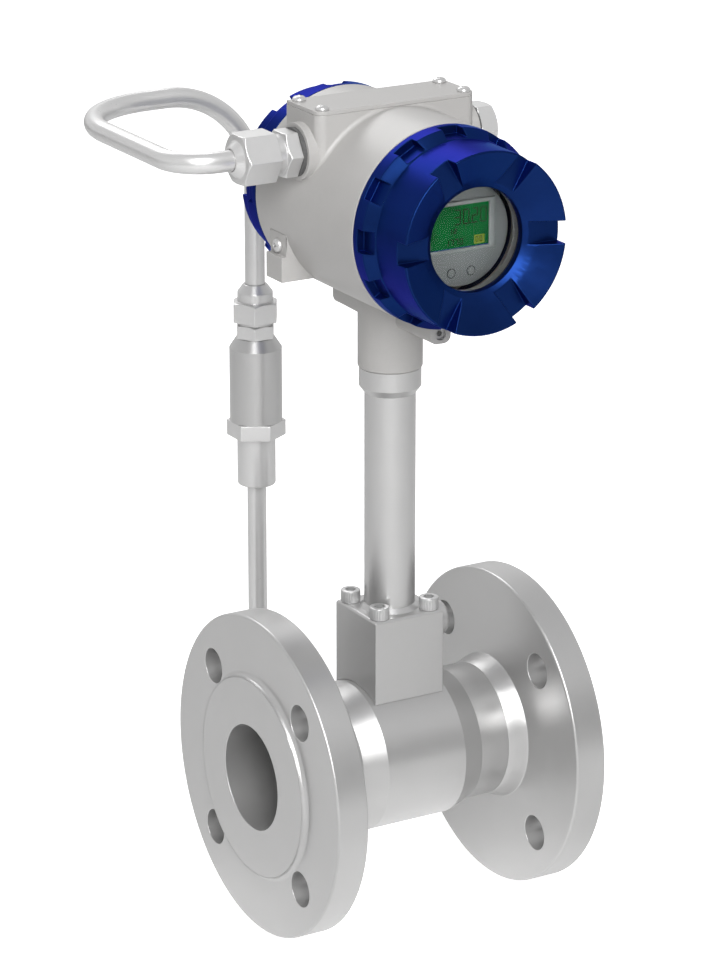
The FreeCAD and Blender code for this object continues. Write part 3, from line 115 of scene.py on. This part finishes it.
class Finish:
    """A material with one Principled shader, whose fixed values stand on its own sockets."""

    def __init__(self, name, **fixed):
        self.material = bpy.data.materials.new(name)
        self.material.use_nodes = True
        tree = self.material.node_tree
        self.shader = tree.nodes["Principled BSDF"]
        self.wire = Wire(tree)
        for socket, value in fixed.items():
            self.set(socket.replace("_", " "), value)

    def set(self, socket, value):
        if isinstance(value, Wire):
            self.wire.tree.links.new(value.socket, self.shader.inputs[socket])
        else:
            self.shader.inputs[socket].default_value = value

    def place(self, centre=(0, 0, 0)):
        """Where a point of the surface lies, from the given centre, in metres."""
        point = self.wire.node("TexCoord", output=3)
        shift = [-c for c in centre]
        return self.wire.node("Mapping", {}, {"Vector": point, "Location": shift})

    def noise(self, point, scale, detail):
        return self.wire.node("TexNoise", {}, {"Vector": point, "Scale": scale, "Detail": detail})

    def blend(self, amount, low, high):
        """A colour between low and high."""
        return self.wire.node("Mix", {"data_type": "RGBA"}, {0: amount, 6: low, 7: high}, 2)

    def bump(self, height, strength, depth):
        self.set("Normal", self.wire.node("Bump", {}, {
            "Strength": strength, "Distance": depth, "Height": height,
        }))


def lathe_lines(finish, point, axis, pitch):
    """Noise that is the same all round a turning axis, so it reads as lathe marks."""
    across = point.parts()
    along = across.pop("xyz".index(axis))
    radius = (across[0] * across[0] + across[1] * across[1]) ** 0.5
    ring = finish.wire.node("CombineXYZ", {}, {0: along, 1: radius, 2: 0.0})
    return finish.noise(ring, 1 / pitch, 1)


def grey(value, warmth=0.0):
    return (value + warmth, value, value - warmth, 1)


def steel(name, tone, rough, axis=None, centre=(0, 0, 0), pitch=0.0007, metallic=0.25, lines=0.5,
          tooth=0.12):
    """Metal with a fine grain, a faint cloudiness and, round an axis, lathe marks."""
    finish = Finish(name, Metallic=metallic)
    point = finish.place(centre)
    cloud = finish.noise(point, 32, 3)
    grain = finish.noise(point, 1600, 1)
    marks = lathe_lines(finish, point, axis, pitch) if axis else finish.noise(point, 420, 2)
    worn = cloud * 0.6 + grain * 0.25 + marks * 0.15
    finish.set("Base Color", finish.blend(worn, grey(tone * 0.93, 0.002), grey(tone * 1.07, 0.002)))
    finish.set("Roughness", rough - 0.09 + cloud * 0.08 + marks * 0.06 + grain * 0.04)
    finish.bump(grain * 0.5 + marks * lines, tooth, 0.00006)
    return finish.material


def dress(material, *names):
    """Give a CAD node its finish."""
    for name in names:
        for slot in nodes[name].material_slots:
            slot.material = material


def stand(name, shape, material, body="meter", keep=50):
    """Turn a finished bmesh into a piece that rides on a body, smooth up to the given angle."""
    mesh = bpy.data.meshes.new(name)
    shape.to_mesh(mesh)
    shape.free()
    mesh.shade_smooth()
    mesh.set_sharp_from_angle(angle=math.radians(keep))
    mesh.materials.append(material)
    piece = bpy.data.objects.new(name, mesh)
    bpy.context.scene.collection.objects.link(piece)
    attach(piece, body)
    return piece


machined_edge = 0.0004
cast_edge = 0.0003


def softened(name, width, material, body="meter"):
    """Stand a copy of a CAD node in its place, with the sharp edges eased by the given width."""
    merge_within = 2e-6
    flat_within = math.radians(0.5)
    sharp_from = math.radians(33)
    shape = bmesh.new()
    shape.from_mesh(nodes[name].data)
    bmesh.ops.remove_doubles(shape, verts=shape.verts, dist=merge_within)
    bmesh.ops.dissolve_limit(shape, angle_limit=flat_within, verts=shape.verts, edges=shape.edges)
    sharp = [edge for edge in shape.edges
             if len(edge.link_faces) == 2 and edge.calc_face_angle() > sharp_from]
    bmesh.ops.bevel(shape, geom=sharp, affect="EDGES", offset=width, offset_type="OFFSET", segments=2,
                    profile=0.5, material=-1)
    piece = stand(name + "_eased", shape, material, body)
    flats = piece.modifiers.new("flats", "WEIGHTED_NORMAL")
    flats.keep_sharp = True
    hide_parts(name)


line_steel = steel("line_steel", tone=0.44, rough=0.34, axis="x", pitch=0.0006, metallic=0.7)
for name in ("inlet_flange", "outlet_flange"):
    softened(name, machined_edge, line_steel)
dress(line_steel, "meter_body")

# The shedder bar is milled and welded across the bore. The sensor behind it is one turned piece
# with a flat paddle, clamped on a soft steel ring.
dress(steel("bar_steel", tone=0.46, rough=0.4), "shedder_bar", "vortex_sensor", "pressure_cell")
dress(steel("soft_ring", tone=0.4, rough=0.5), "sensor_gasket")

# The bonnet is a milled block of the same steel, saddled on the body. A turned plug closes the
# cross hole in its side.
plug_axis = (0, 0, 0.065)
softened("sensor_bonnet", machined_edge, steel("milled_steel", tone=0.41, rough=0.36, metallic=0.6))
dress(steel("plug_steel", tone=0.44, rough=0.35, axis="x", centre=plug_axis, metallic=0.7),
      "bonnet_side_plug")

# Four long socket screws hold the bonnet down. Their heads are turned, knurled and broached with a
# hexagon, and stand in a square round the stem.
stem_x = 0.077
cap_seat = 0.0771
cap_out = 0.0143
cap_high = 0.0063
socket_r = 0.0029
socket_deep = 0.0035
knurl_r = 0.0048
knurl_foot = 0.0005
knurl_top = 0.0055
knurl_teeth = 36


def turned(profile, closed=False, steps=48):
    """Spin an outline of (radius, height), in millimetres, once round the Z axis."""
    shape = bmesh.new()
    spots = [shape.verts.new((radius / 1000, 0, height / 1000)) for radius, height in profile]
    following = spots[1:] + spots[:1] if closed else spots[1:]
    edges = [shape.edges.new(pair) for pair in zip(spots, following)]
    bmesh.ops.spin(shape, geom=spots + edges, cent=(0, 0, 0), axis=(0, 0, 1), angle=math.tau,
                   steps=steps, use_merge=True)
    bmesh.ops.remove_doubles(shape, verts=shape.verts, dist=1e-7)
    bmesh.ops.recalc_face_normals(shape, faces=shape.faces)
    return shape


def carved(shape, cutter):
    """Cut the second bmesh out of the first."""
    blanks = []
    for part in (shape, cutter):
        mesh = bpy.data.meshes.new("blank")
        part.to_mesh(mesh)
        part.free()
        blanks.append(bpy.data.objects.new("blank", mesh))
        bpy.context.scene.collection.objects.link(blanks[-1])
    cut = blanks[0].modifiers.new("cut", "BOOLEAN")
    cut.operation = "DIFFERENCE"
    cut.object = blanks[1]
    cut.solver = "EXACT"
    finished = blanks[0].evaluated_get(bpy.context.evaluated_depsgraph_get())
    made = bmesh.new()
    made.from_mesh(bpy.data.meshes.new_from_object(finished))
    for blank in blanks:
        bpy.data.objects.remove(blank)
    return made


def repeated(shape, places):
    """Copies of a bmesh at each of the given matrices, as one bmesh."""
    pattern = bpy.data.meshes.new("pattern")
    shape.to_mesh(pattern)
    shape.free()
    together = bmesh.new()
    for place in places:
        before = len(together.verts)
        together.from_mesh(pattern)
        together.verts.ensure_lookup_table()
        bmesh.ops.transform(together, matrix=place, verts=together.verts[before:])
    return together


cap_head = turned([(0, 6.3), (4.45, 6.3), (4.8, 6.15), (4.95, 5.8), (4.95, 0.35), (4.7, 0), (3, 0),
                   (3, -49.4), (2.5, -50), (0, -50)])
key_hole = bmesh.new()
bmesh.ops.create_cone(key_hole, cap_ends=True, segments=6, radius1=socket_r, radius2=socket_r,
                      depth=socket_deep * 2)
bmesh.ops.translate(key_hole, verts=key_hole.verts, vec=(0, 0, cap_high))
cap_head = carved(cap_head, key_hole)
cap_places = [Matrix.Translation((stem_x + along * cap_out, across * cap_out, cap_seat))
              for along in (-1, 1) for across in (-1, 1)]
knurled = Finish("knurled_steel", Metallic=0.6)
point = knurled.place((stem_x, 0, cap_seat))
x, y, z = point.parts()
x = x.maths("ABSOLUTE", x) - cap_out
y = y.maths("ABSOLUTE", y) - cap_out
round_side = ((x * x + y * y) ** 0.5 > knurl_r) * (z > knurl_foot) * (z < knurl_top)
angle = x.maths("ARCTAN2", y, x) * knurl_teeth
teeth = angle.maths("SINE", angle) * round_side
scuff = knurled.noise(point, 900, 2)
# Painted shade and highlight: the knurl's grooves are coloured darker and its ridges lighter.
knurled.set("Base Color", knurled.blend(teeth * 0.5 + 0.5, grey(0.4), grey(0.56)))
knurled.set("Roughness", 0.28 + scuff * 0.1)
knurled.bump(teeth * 0.8 + scuff * 0.1, 0.5, 0.0002)
cap_screws = stand("bonnet_screws_knurled", repeated(cap_head, cap_places), knurled.material, keep=28)
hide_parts("bonnet_screws")

# The stem is a drawn stainless tube, welded to the bonnet round its foot. The collar on its top is
# turned from the same steel and carries the head's neck.
stem_steel = steel("stem_steel", tone=0.45, rough=0.32, axis="z", centre=(stem_x, 0, 0), metallic=0.7)
dress(stem_steel, "stem_tube", "stem_adapter")

# The head is cast aluminium under light grey satin paint, which follows a faint casting texture.
# A plate closes the crown on its top. It is painted like the head and left bare.
shade_grey = (0.355, 0.348, 0.34, 1)
light_grey = (0.415, 0.407, 0.398, 1)
paint = Finish("grey_paint", Metallic=0.0, Coat_Weight=0.15, Coat_Roughness=0.35)
point = paint.place()
peel = paint.noise(point, 900, 2)
cast = paint.noise(point, 70, 3)
paint.set("Base Color", paint.blend(cast * 0.7 + peel * 0.3, shade_grey, light_grey))
paint.set("Roughness", 0.36 + cast * 0.12)
paint.bump(peel * 0.6 + cast * 0.8, 0.1, 0.00015)
softened("head_housing", cast_edge, paint.material)
softened("crown_plate", cast_edge, paint.material)

# Pan-head screws with cross recesses hold the crown's plate and, on the left, the earth wire. They
# are satin plated. A headless screw of plain steel in the lug locks the front cover.
plate_top = 0.3362
plate_screw_out = 0.0394
plate_screw_front = -0.0026
plate_screw_back = 0.02
earth_spot = (0.03, 0.0278, 0.2635)


def cross_head(head_r, head_high, shank_r, shank_long):
    """A domed head on its shank, with a tapered cross pressed into it. Sizes in millimetres."""
    head = turned([(0, head_high), (head_r * 0.4, head_high * 0.97), (head_r * 0.72, head_high * 0.84),
                   (head_r * 0.92, head_high * 0.58), (head_r, head_high * 0.25), (head_r * 0.96, 0),
                   (shank_r, 0), (shank_r, -shank_long), (0, -shank_long)])
    for turn in (0, math.pi / 2):
        arm = bmesh.new()
        bmesh.ops.create_cube(arm, size=0.001)
        bmesh.ops.scale(arm, verts=arm.verts, vec=(head_r * 1.15, head_r * 0.26, head_high))
        low = [vert for vert in arm.verts if vert.co.z < 0]
        bmesh.ops.scale(arm, verts=low, vec=(0.5, 0.5, 1))
        bmesh.ops.rotate(arm, verts=arm.verts, cent=(0, 0, 0), matrix=Matrix.Rotation(turn, 3, "Z"))
        bmesh.ops.translate(arm, verts=arm.verts, vec=(0, 0, head_high * 0.0009))
        head = carved(head, arm)
    return head


plated = steel("plated_steel", tone=0.52, rough=0.34, metallic=0.6, lines=0.2)
plate_places = [
    Matrix.Translation((stem_x + side * plate_screw_out, y, plate_top)) @ Matrix.Rotation(turn, 4, "Z")
    for side, y, turn in ((-1, plate_screw_front, 0.3), (-1, plate_screw_back, 1.1),
                          (1, plate_screw_front, 0.7), (1, plate_screw_back, 0.1))
]
plate_head = cross_head(head_r=3.4, head_high=2.4, shank_r=1.5, shank_long=8)
plate_screws = stand("crown_screws_domed", repeated(plate_head, plate_places), plated, keep=28)
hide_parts("crown_plate_screws")
earth_place = Matrix.Translation(earth_spot) @ Matrix.Rotation(-math.pi / 2, 4, "Y")
earth_head = cross_head(head_r=3.6, head_high=2.2, shank_r=2, shank_long=7.5)
earth_screw = stand("earth_screw_domed", repeated(earth_head, [earth_place]), plated, keep=28)
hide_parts("earth_screw")
dress(steel("screw_steel", tone=0.38, rough=0.42), "cover_lock_screw")

# Both covers are cast aluminium under deep blue gloss paint. Bars fit the slots of their rims to
# turn them, and the housing's lock screw holds the front one.
head_z = 0.2849
head_axis = (stem_x, 0, head_z)
deep_blue = (0.004, 0.014, 0.076, 1)
clear_blue = (0.007, 0.022, 0.11, 1)
azure_glint = (0.0, 0.32, 1.0, 1)
blue = Finish("blue_paint", Metallic=0.88, Specular_IOR_Level=0.6, Specular_Tint=azure_glint)
point = blue.place(head_axis)
peel = blue.noise(point, 700, 2)
cast = blue.noise(point, 60, 3)
blue.set("Base Color", blue.blend(cast * 0.8 + peel * 0.2, deep_blue, clear_blue))
blue.set("Roughness", 0.3 + cast * 0.12)
blue.bump(peel * 0.5 + cast, 0.08, 0.0002)
softened("front_cover", machined_edge, blue.material, "front_cover")
softened("back_cover", machined_edge, blue.material, "back_cover")

# Each cover screws in on a fine thread of 2 mm pitch. It is cut on the bare aluminium of the
# cover's sleeve, so its bright turns show only when the cover is backed off.
front_foot_y = -0.048
back_foot_y = 0.047
thread_pitch = 0.002
thread_turns = 4
thread_steps = 256
sleeve_r = 0.0414
crest_r = 0.04194
bare_metal = steel("cut_aluminium", tone=0.5, rough=0.38, axis="y", centre=head_axis, metallic=0.6)


def thread_on(name, foot_y, turn, body):
    """A flat-topped ridge, wound along the sleeve."""
    ridge = bmesh.new()
    spots = [ridge.verts.new((radius, 0, height)) for radius, height in
             ((sleeve_r, -0.0098), (0.0418, -0.0096), (crest_r, -0.009), (crest_r, -0.0088),
              (0.0418, -0.0082), (sleeve_r, -0.008))]
    edges = [ridge.edges.new(pair) for pair in zip(spots, spots[1:] + spots[:1])]
    climb = thread_pitch * thread_turns / thread_steps
    bmesh.ops.spin(ridge, geom=spots + edges, cent=(0, 0, 0), axis=(0, 0, 1),
                   angle=math.tau * thread_turns, dvec=(0, 0, climb), steps=thread_steps, use_merge=False)
    ends = [edge for edge in ridge.edges if edge.is_boundary]
    bmesh.ops.holes_fill(ridge, edges=ends, sides=len(spots))
    bmesh.ops.recalc_face_normals(ridge, faces=ridge.faces)
    place = Matrix.Translation((stem_x, foot_y, head_z)) @ Matrix.Rotation(turn, 4, "X")
    stand(name, repeated(ridge, [place]), bare_metal, body, keep=25)


thread_on("front_cover_thread", front_foot_y, math.pi / 2, "front_cover")
thread_on("back_cover_thread", back_foot_y, -math.pi / 2, "back_cover")

# Rings of black moulded rubber seal both covers, and the window's glass stands on one more. Dark
# grey rings seal the left entry and the plug. The two inner leads have a rubber sheath.


def rubber(name, tone, rough):
    """Dull rubber with a fine moulded texture."""
    finish = Finish(name, Metallic=0.0)
    point = finish.place()
    speck = finish.noise(point, 900, 2)
    finish.set("Base Color", finish.blend(speck, grey(tone * 0.7), grey(tone * 1.4)))
    finish.set("Roughness", rough - 0.08 + speck * 0.16)
    finish.bump(speck, 0.15, 0.0001)
    return finish.material


seal_rubber = rubber("seal_rubber", tone=0.02, rough=0.65)
dress(seal_rubber, "front_cover_seal", "back_cover_seal", "window_gasket")
dress(rubber("entry_rubber", tone=0.08, rough=0.6), "entry_seal_ring", "blank_plug_seal")
dress(rubber("lead_sheath", tone=0.06, rough=0.55), "sensor_lead", "pressure_lead")

# The window is toughened glass with ground edges and a coat that kills its glare. A screwed ring
# of plain aluminium holds it from behind.
pane_back_y = -0.0686
glass_tint = (0.93, 0.96, 0.96, 1)
glass = Finish("window_glass", Transmission_Weight=1.0, IOR=1.12, Metallic=0.0)
smear = glass.noise(glass.place(head_axis), 40, 2)
glass.set("Base Color", glass_tint)
glass.set("Roughness", smear * 0.02)


def faced(x, y, z):
    """The place of a piece that is turned round Z, with its top to the meter's front."""
    return Matrix.Translation((x, y, z)) @ Matrix.Rotation(math.pi / 2, 4, "X")


pane = turned([(0, 0.1), (30.6, 0.1), (31.05, 0.5), (31.05, 5.5), (30.6, 5.9), (0, 5.9)], steps=96)
window_pane = stand("window_glass_ground", repeated(pane, [faced(stem_x, pane_back_y, head_z)]),
                    glass.material, "front_cover", keep=30)
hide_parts("window_glass")
# The ring's aluminium is given a dark tone as painted shade, for the shade it lies in behind the glass.
ring_aluminium_painted_shade = steel("ring_aluminium_painted_shade", tone=0.13, rough=0.5, axis="y", centre=head_axis)
dress(ring_aluminium_painted_shade, "glass_retaining_ring")

# The display module is a round can, moulded in grey plastic. A raised frame with rounded lips is
# moulded on its face, round the green panel.
face_y = -0.0645
panel_x = 0.0759
panel_z = 0.2883
panel_wide = 0.0322
panel_high = 0.021
frame_x = 0.0769
frame_z = 0.28865
frame_wide = 0.0366
frame_high = 0.0247
frame_proud = 0.001
frame_lip = 0.0006


def plastic(name, low, high, rough, gloss=0.5):
    """Moulded plastic or print between two near colours, with a fine grain."""
    finish = Finish(name, Metallic=0.0, Specular_IOR_Level=gloss)
    point = finish.place()
    speck = finish.noise(point, 500, 2)
    cloud = finish.noise(point, 40, 2)
    finish.set("Base Color", finish.blend(speck * 0.5 + cloud * 0.5, low, high))
    finish.set("Roughness", rough - 0.06 + speck * 0.12)
    finish.bump(speck, 0.1, 0.0001)
    return finish.material


dress(plastic("face_plastic", (0.09, 0.093, 0.093, 1), (0.112, 0.115, 0.115, 1), 0.5), "display_can")
frame_plastic = plastic("frame_plastic", (0.13, 0.134, 0.133, 1), (0.155, 0.159, 0.158, 1), 0.45)
bezel = bmesh.new()
bmesh.ops.create_grid(bezel, x_segments=1, y_segments=1, size=0.5)
bmesh.ops.inset_individual(bezel, faces=bezel.faces[:], thickness=0.1)
hole = [vert for vert in bezel.verts if abs(vert.co.x) < 0.49]
rim = [vert for vert in bezel.verts if abs(vert.co.x) > 0.49]
upright = Matrix.Rotation(math.pi / 2, 3, "X")
for verts, wide, high, x, z in ((hole, panel_wide, panel_high, panel_x, panel_z),
                                (rim, frame_wide, frame_high, frame_x, frame_z)):
    reach = max(abs(vert.co.x) for vert in verts) * 2
    bmesh.ops.scale(bezel, verts=verts, vec=(wide / reach, high / reach, 1))
    bmesh.ops.rotate(bezel, verts=verts, cent=(0, 0, 0), matrix=upright)
    bmesh.ops.translate(bezel, verts=verts, vec=(x, face_y + 0.0001, z))
opening = [face for face in bezel.faces if all(vert in hole for vert in face.verts)]
bmesh.ops.delete(bezel, geom=opening, context="FACES_ONLY")
raised = bmesh.ops.extrude_face_region(bezel, geom=bezel.faces[:], use_keep_orig=True)["geom"]
front = [vert for vert in raised if isinstance(vert, bmesh.types.BMVert)]
bmesh.ops.translate(bezel, verts=front, vec=(0, -frame_proud, 0))
bmesh.ops.recalc_face_normals(bezel, faces=bezel.faces)
lips = [edge for edge in bezel.edges
        if all(vert in front for vert in edge.verts) and edge.calc_face_angle(0) > 1]
bmesh.ops.bevel(bezel, geom=lips, affect="EDGES", offset=frame_lip, offset_type="OFFSET", segments=3,
                profile=0.5, material=-1)
stand("display_frame", bezel, frame_plastic)

# The green panel is a backlit liquid crystal display under a thin film, which fills the frame. Its
# lower right field is yellow and its lowest line is dark.
shade_green = (0.0015, 0.052, 0.0115, 1)
light_green = (0.003, 0.074, 0.017, 1)
yellow = (0.15, 0.18, 0.02, 1)
yellow_left = 0.0839
yellow_right = 0.0897
yellow_foot = 0.2789
yellow_top = 0.2832
line_blue = (0.008, 0.022, 0.09, 1)
line_top = 0.2783
film_thick = 0.0004
film_gap = 0.0001
film_edge = 0.0001
panel = Finish("display_green", Metallic=0.0, Roughness=0.4, Emission_Strength=0.25,
               Specular_IOR_Level=0.03)
point = panel.place()
x, _, z = point.parts()
glow = panel.noise(point, 90, 2)
green = panel.blend(glow, shade_green, light_green)
field = (x > yellow_left) * (x < yellow_right) * (z > yellow_foot) * (z < yellow_top)
shown = panel.blend(field * (0.55 + glow * 0.5), green, yellow)
shown = panel.blend(z < line_top, shown, line_blue)
panel.set("Base Color", shown)
panel.set("Emission Color", shown)
dress(panel.material, "display_panel")
film = bmesh.new()
bmesh.ops.create_cube(film, size=1)
bmesh.ops.scale(film, verts=film.verts, vec=(panel_wide - film_gap, film_thick, panel_high - film_gap))
bmesh.ops.translate(film, verts=film.verts, vec=(panel_x, face_y - 0.0001, panel_z))
bmesh.ops.bevel(film, geom=film.edges[:], affect="EDGES", offset=film_edge, offset_type="OFFSET",
                segments=2, profile=0.5, material=-1)
stand("display_film", film, panel.material)

# The figures are dark segments of the display, in four groups of different size. They are plain
# numbers, with a point in the first group.
ink_y = face_y - 0.00036
ink_thick = 0.00005
bars_of = {"0": "abcdef", "1": "bc", "2": "abdeg", "3": "abcdg", "7": "abc"}
spot_of = {"a": (0, 1, 0), "b": (0.5, 0.5, 1), "c": (0.5, -0.5, 1), "d": (0, -1, 0), "e": (-0.5, -0.5, 1),
           "f": (-0.5, 0.5, 1), "g": (0, 0, 0)}
figures = bmesh.new()


def bar(x, z, length, thick, standing):
    """A six-sided segment of a figure, a hair above the panel."""
    made = bmesh.ops.create_circle(figures, cap_ends=True, segments=6, radius=thick / 2)["verts"]
    for side in (-1, 1):
        end = [vert for vert in made if vert.co.x * side > 0]
        bmesh.ops.translate(figures, verts=end, vec=(side * (length / 2 - thick * 0.55), 0, 0))
    turn = Matrix.Rotation(math.pi / 2 * standing, 3, "Z")
    bmesh.ops.rotate(figures, verts=made, cent=(0, 0, 0), matrix=turn)
    bmesh.ops.rotate(figures, verts=made, cent=(0, 0, 0), matrix=upright)
    bmesh.ops.translate(figures, verts=made, vec=(x, ink_y, z))


def row_of(text, right, low, wide, high, pitch, thick):
    """A row of figures that ends at its right edge."""
    middle = low + high / 2
    for i, sign in enumerate(text):
        x = right - wide / 2 - pitch * (len(text) - 1 - i)
        for name in bars_of[sign]:
            across, up, standing = spot_of[name]
            length = high / 2 if standing else wide
            bar(x + across * (wide - thick), middle + up * (high - thick) / 2, length, thick, standing)


row_of("3020", right=0.0908, low=0.2891, wide=0.0037, high=0.0077, pitch=0.00475, thick=0.00078)
bar(x=0.08165, z=0.2895, length=0.0011, thick=0.0008, standing=0)
row_of("12", right=0.0744, low=0.2851, wide=0.002, high=0.0026, pitch=0.0026, thick=0.0006)
row_of("1770", right=0.0778, low=0.2794, wide=0.002, high=0.0033, pitch=0.00255, thick=0.0006)
row_of("00", right=0.0884, low=0.2797, wide=0.0015, high=0.0028, pitch=0.0022, thick=0.0004)
raised = bmesh.ops.extrude_face_region(figures, geom=figures.faces[:], use_keep_orig=True)["geom"]
backs = [vert for vert in raised if isinstance(vert, bmesh.types.BMVert)]
bmesh.ops.translate(figures, verts=backs, vec=(0, ink_thick, 0))
bmesh.ops.recalc_face_normals(figures, faces=figures.faces)
stand("display_figures", figures,
      plastic("figure_ink", (0.008, 0.006, 0.004, 1), (0.012, 0.009, 0.006, 1), 0.7, gloss=0.02))

# Two round keys of grey plastic lie under the panel and sink a little when they are pressed. A
# thin dark ring lies round each on the can's face.
key_out = 0.00545
key_z = 0.266
key_plastic = plastic("key_plastic", (0.1, 0.103, 0.102, 1), (0.12, 0.123, 0.122, 1), 0.45)
dress(key_plastic, "left_key", "right_key")
key_ring = turned([(1.98, 0), (2.4, 0), (2.4, 0.06), (1.98, 0.06)], closed=True, steps=36)
ring_places = [faced(stem_x + side * key_out, face_y, key_z) for side in (-1, 1)]
stand("key_rings", repeated(key_ring, ring_places),
      plastic("key_ring_dark", (0.015, 0.016, 0.016, 1), (0.025, 0.026, 0.026, 1), 0.6, gloss=0.1))

# The boards are glass fibre with green solder mask over the copper tracks, and stand on plated
# pillars. The terminal block and the link's header are black mouldings. The block's screws are plated.
mask_green = (0.004, 0.07, 0.025, 1)
track_green = (0.01, 0.14, 0.05, 1)
board = Finish("circuit_board", Metallic=0.0)
tracks = board.noise(board.place(), 260, 1)
board.set("Base Color", board.blend(tracks, mask_green, track_green))
board.set("Roughness", 0.3 + tracks * 0.15)
dress(board.material, "amplifier_board", "terminal_board")
black_moulding = plastic("black_moulding", (0.012, 0.012, 0.013, 1), (0.03, 0.03, 0.032, 1), 0.5)
dress(black_moulding, "terminal_block", "board_link")
dress(plated, "amplifier_pillars", "terminal_pillars", "terminal_screws")

# The conduit's fittings, the right entry's plug and the pressure connection are turned from
# stainless hexagon bar, whose flats stay bright. The ferrules inside the fittings grip the conduit.
fitting_steel = steel("fitting_steel", tone=0.56, rough=0.32, metallic=0.6)
for name in ("entry_adapter", "entry_nut", "blank_plug", "sensor_top_adapter", "sensor_top_nut",
             "pressure_connection"):
    softened(name, cast_edge, fitting_steel)
dress(fitting_steel, "entry_ferrule", "sensor_top_ferrule")

# The pressure sensor's case is turned from stainless round bar, with a cone on its top. It hangs
# behind the meter, between the conduit and the impulse pipe.
case_axis = (stem_x + 0.0005, 0.139, 0)
case_steel = steel("case_steel", tone=0.43, rough=0.32, axis="z", centre=case_axis, metallic=0.7)
dress(case_steel, "pressure_sensor_case")

# The conduit is bright drawn stainless tube, bent cold, with the pressure cell's lead inside. The
# impulse pipe below is drawn from the same steel and welded into the body's boss.
tube_steel = steel("tube_steel", tone=0.56, rough=0.3, lines=0.2, metallic=0.55, tooth=0.02)
dress(tube_steel, "conduit_tube", "impulse_pipe")

# The studio has a pale floor, which shows as white and keeps the meter's shadow. Only in the
# steel's reflections, it glows as a painted reflection: bright under the meter and grey further out.
floor_z = cad_box[0].z - 0.0005
mesh = bpy.data.meshes.new("floor")
shape = bmesh.new()
bmesh.ops.create_grid(shape, x_segments=2, y_segments=2, size=8)
bmesh.ops.translate(shape, verts=shape.verts, vec=(0, 0, floor_z))
shape.to_mesh(mesh)
shape.free()
floor = bpy.data.objects.new("floor", mesh)
bpy.context.scene.collection.objects.link(floor)


def rays_of(wire):
    """Whether a ray comes from the camera, off a shiny surface or through glass."""
    return [wire.node("LightPath", output=i) for i in (0, 3, 6)]


def ramp(value, *stops):
    """A tone that changes with a value, from (value, tone) to (value, tone)."""
    return value.node("ValToRGB", {"stops": [(at, grey(tone)) for at, tone in stops]}, {0: value})


oval_x = 60
oval_y = 17
pale = Finish("pale_floor", Roughness=0.9, Metallic=0.0, Specular_IOR_Level=0.0, Emission_Strength=0.84)
pale.set("Base Color", pale.blend(pale.noise(pale.place(), 6, 2), grey(0.8), grey(0.82)))
x, y, _ = pale.place((stem_x, 0, 0)).parts()
reach = (x * x * oval_x + y * y * oval_y) ** 0.5
# Painted reflection: for reflected rays the floor glows bright under the meter and grey further out.
painted_reflection_falloff = ramp(reach, (0.45, 0.8), (1, 0.28))
camera_ray, glossy_ray, glass_ray = rays_of(pale.wire)
seen = camera_ray.maths("MAXIMUM", camera_ray, glossy_ray.maths("MAXIMUM", glossy_ray * painted_reflection_falloff, glass_ray))
pale.set("Emission Color", pale.blend(seen, grey(0), grey(1)))
mesh.materials.append(pale.material)

# The sky is white to the camera and a little darker overhead. Only in reflections, it has a dark
# band low in front, which gives the turned steel its light, dark and light bands.
dusk = (0.62, 0.62, 0.63, 1)
world = bpy.data.worlds.new("studio")
bpy.context.scene.world = world
world.use_nodes = True
sky = Wire(world.node_tree)
backdrop = world.node_tree.nodes["Background"]
_, depth, height = sky.node("TexCoord", output=0).parts()
overhead = sky.node("ValToRGB", {"stops": [(0.12, grey(1)), (0.95, dusk)]}, {0: height})
in_front = ramp(0 - depth, (0.05, 0), (0.55, 1))
low = ramp(height, (0.3, 1), (0.65, 0))
camera_ray, glossy_ray, glass_ray = rays_of(sky)
seen = camera_ray.maths("MAXIMUM", camera_ray, glass_ray)
mirrored = glossy_ray * (0.8 - in_front * low * 0.7)
sky.tree.links.new(overhead.socket, backdrop.inputs["Color"])
sky.tree.links.new((0.2 + seen * 0.8 + mirrored).socket, backdrop.inputs["Strength"])

# Four softboxes light the meter: a large key from the left, a weak fill from the right, one above
# the brow of the head and one behind.
lit_middle = Vector((0.08, 0.04, 0.13))


def softbox(name, place, wide, high, power):
    """An area lamp, aimed at the meter's middle."""
    lamp = bpy.data.lights.new(name, "AREA")
    lamp.shape = "RECTANGLE"
    lamp.size = wide
    lamp.size_y = high
    lamp.energy = power
    holder = bpy.data.objects.new(name, lamp)
    holder.location = place
    holder.rotation_euler = (lit_middle - Vector(place)).to_track_quat("-Z", "Y").to_euler()
    bpy.context.scene.collection.objects.link(holder)


softbox("key", place=(-0.9, -1.9, 1.3), wide=0.9, high=1.2, power=50)
softbox("fill", place=(1.7, -1.2, 0.7), wide=1.0, high=1.4, power=1)
softbox("brow", place=(-0.45, -1.25, 1.9), wide=1.0, high=0.8, power=20)
softbox("back", place=(0.3, 1.7, 1.7), wide=1.4, high=0.9, power=16)

# The camera stands where the photograph's did. Its place was worked out from the flanges, the
# stem, the bonnet and the head.
seen_middle = Vector((0.085317, 0.045789, 0.1289))
lens = bpy.data.cameras.new("camera")
lens.lens = 145.8
lens.sensor_width = 36
camera = bpy.data.objects.new("camera", lens)
camera.location = (-0.85225, -1.56725, 0.76239)
camera.rotation_euler = (seen_middle - camera.location).to_track_quat("-Z", "Y").to_euler()
bpy.context.scene.collection.objects.link(camera)
bpy.context.scene.camera = camera
bpy.context.scene.view_settings.view_transform = "Standard"
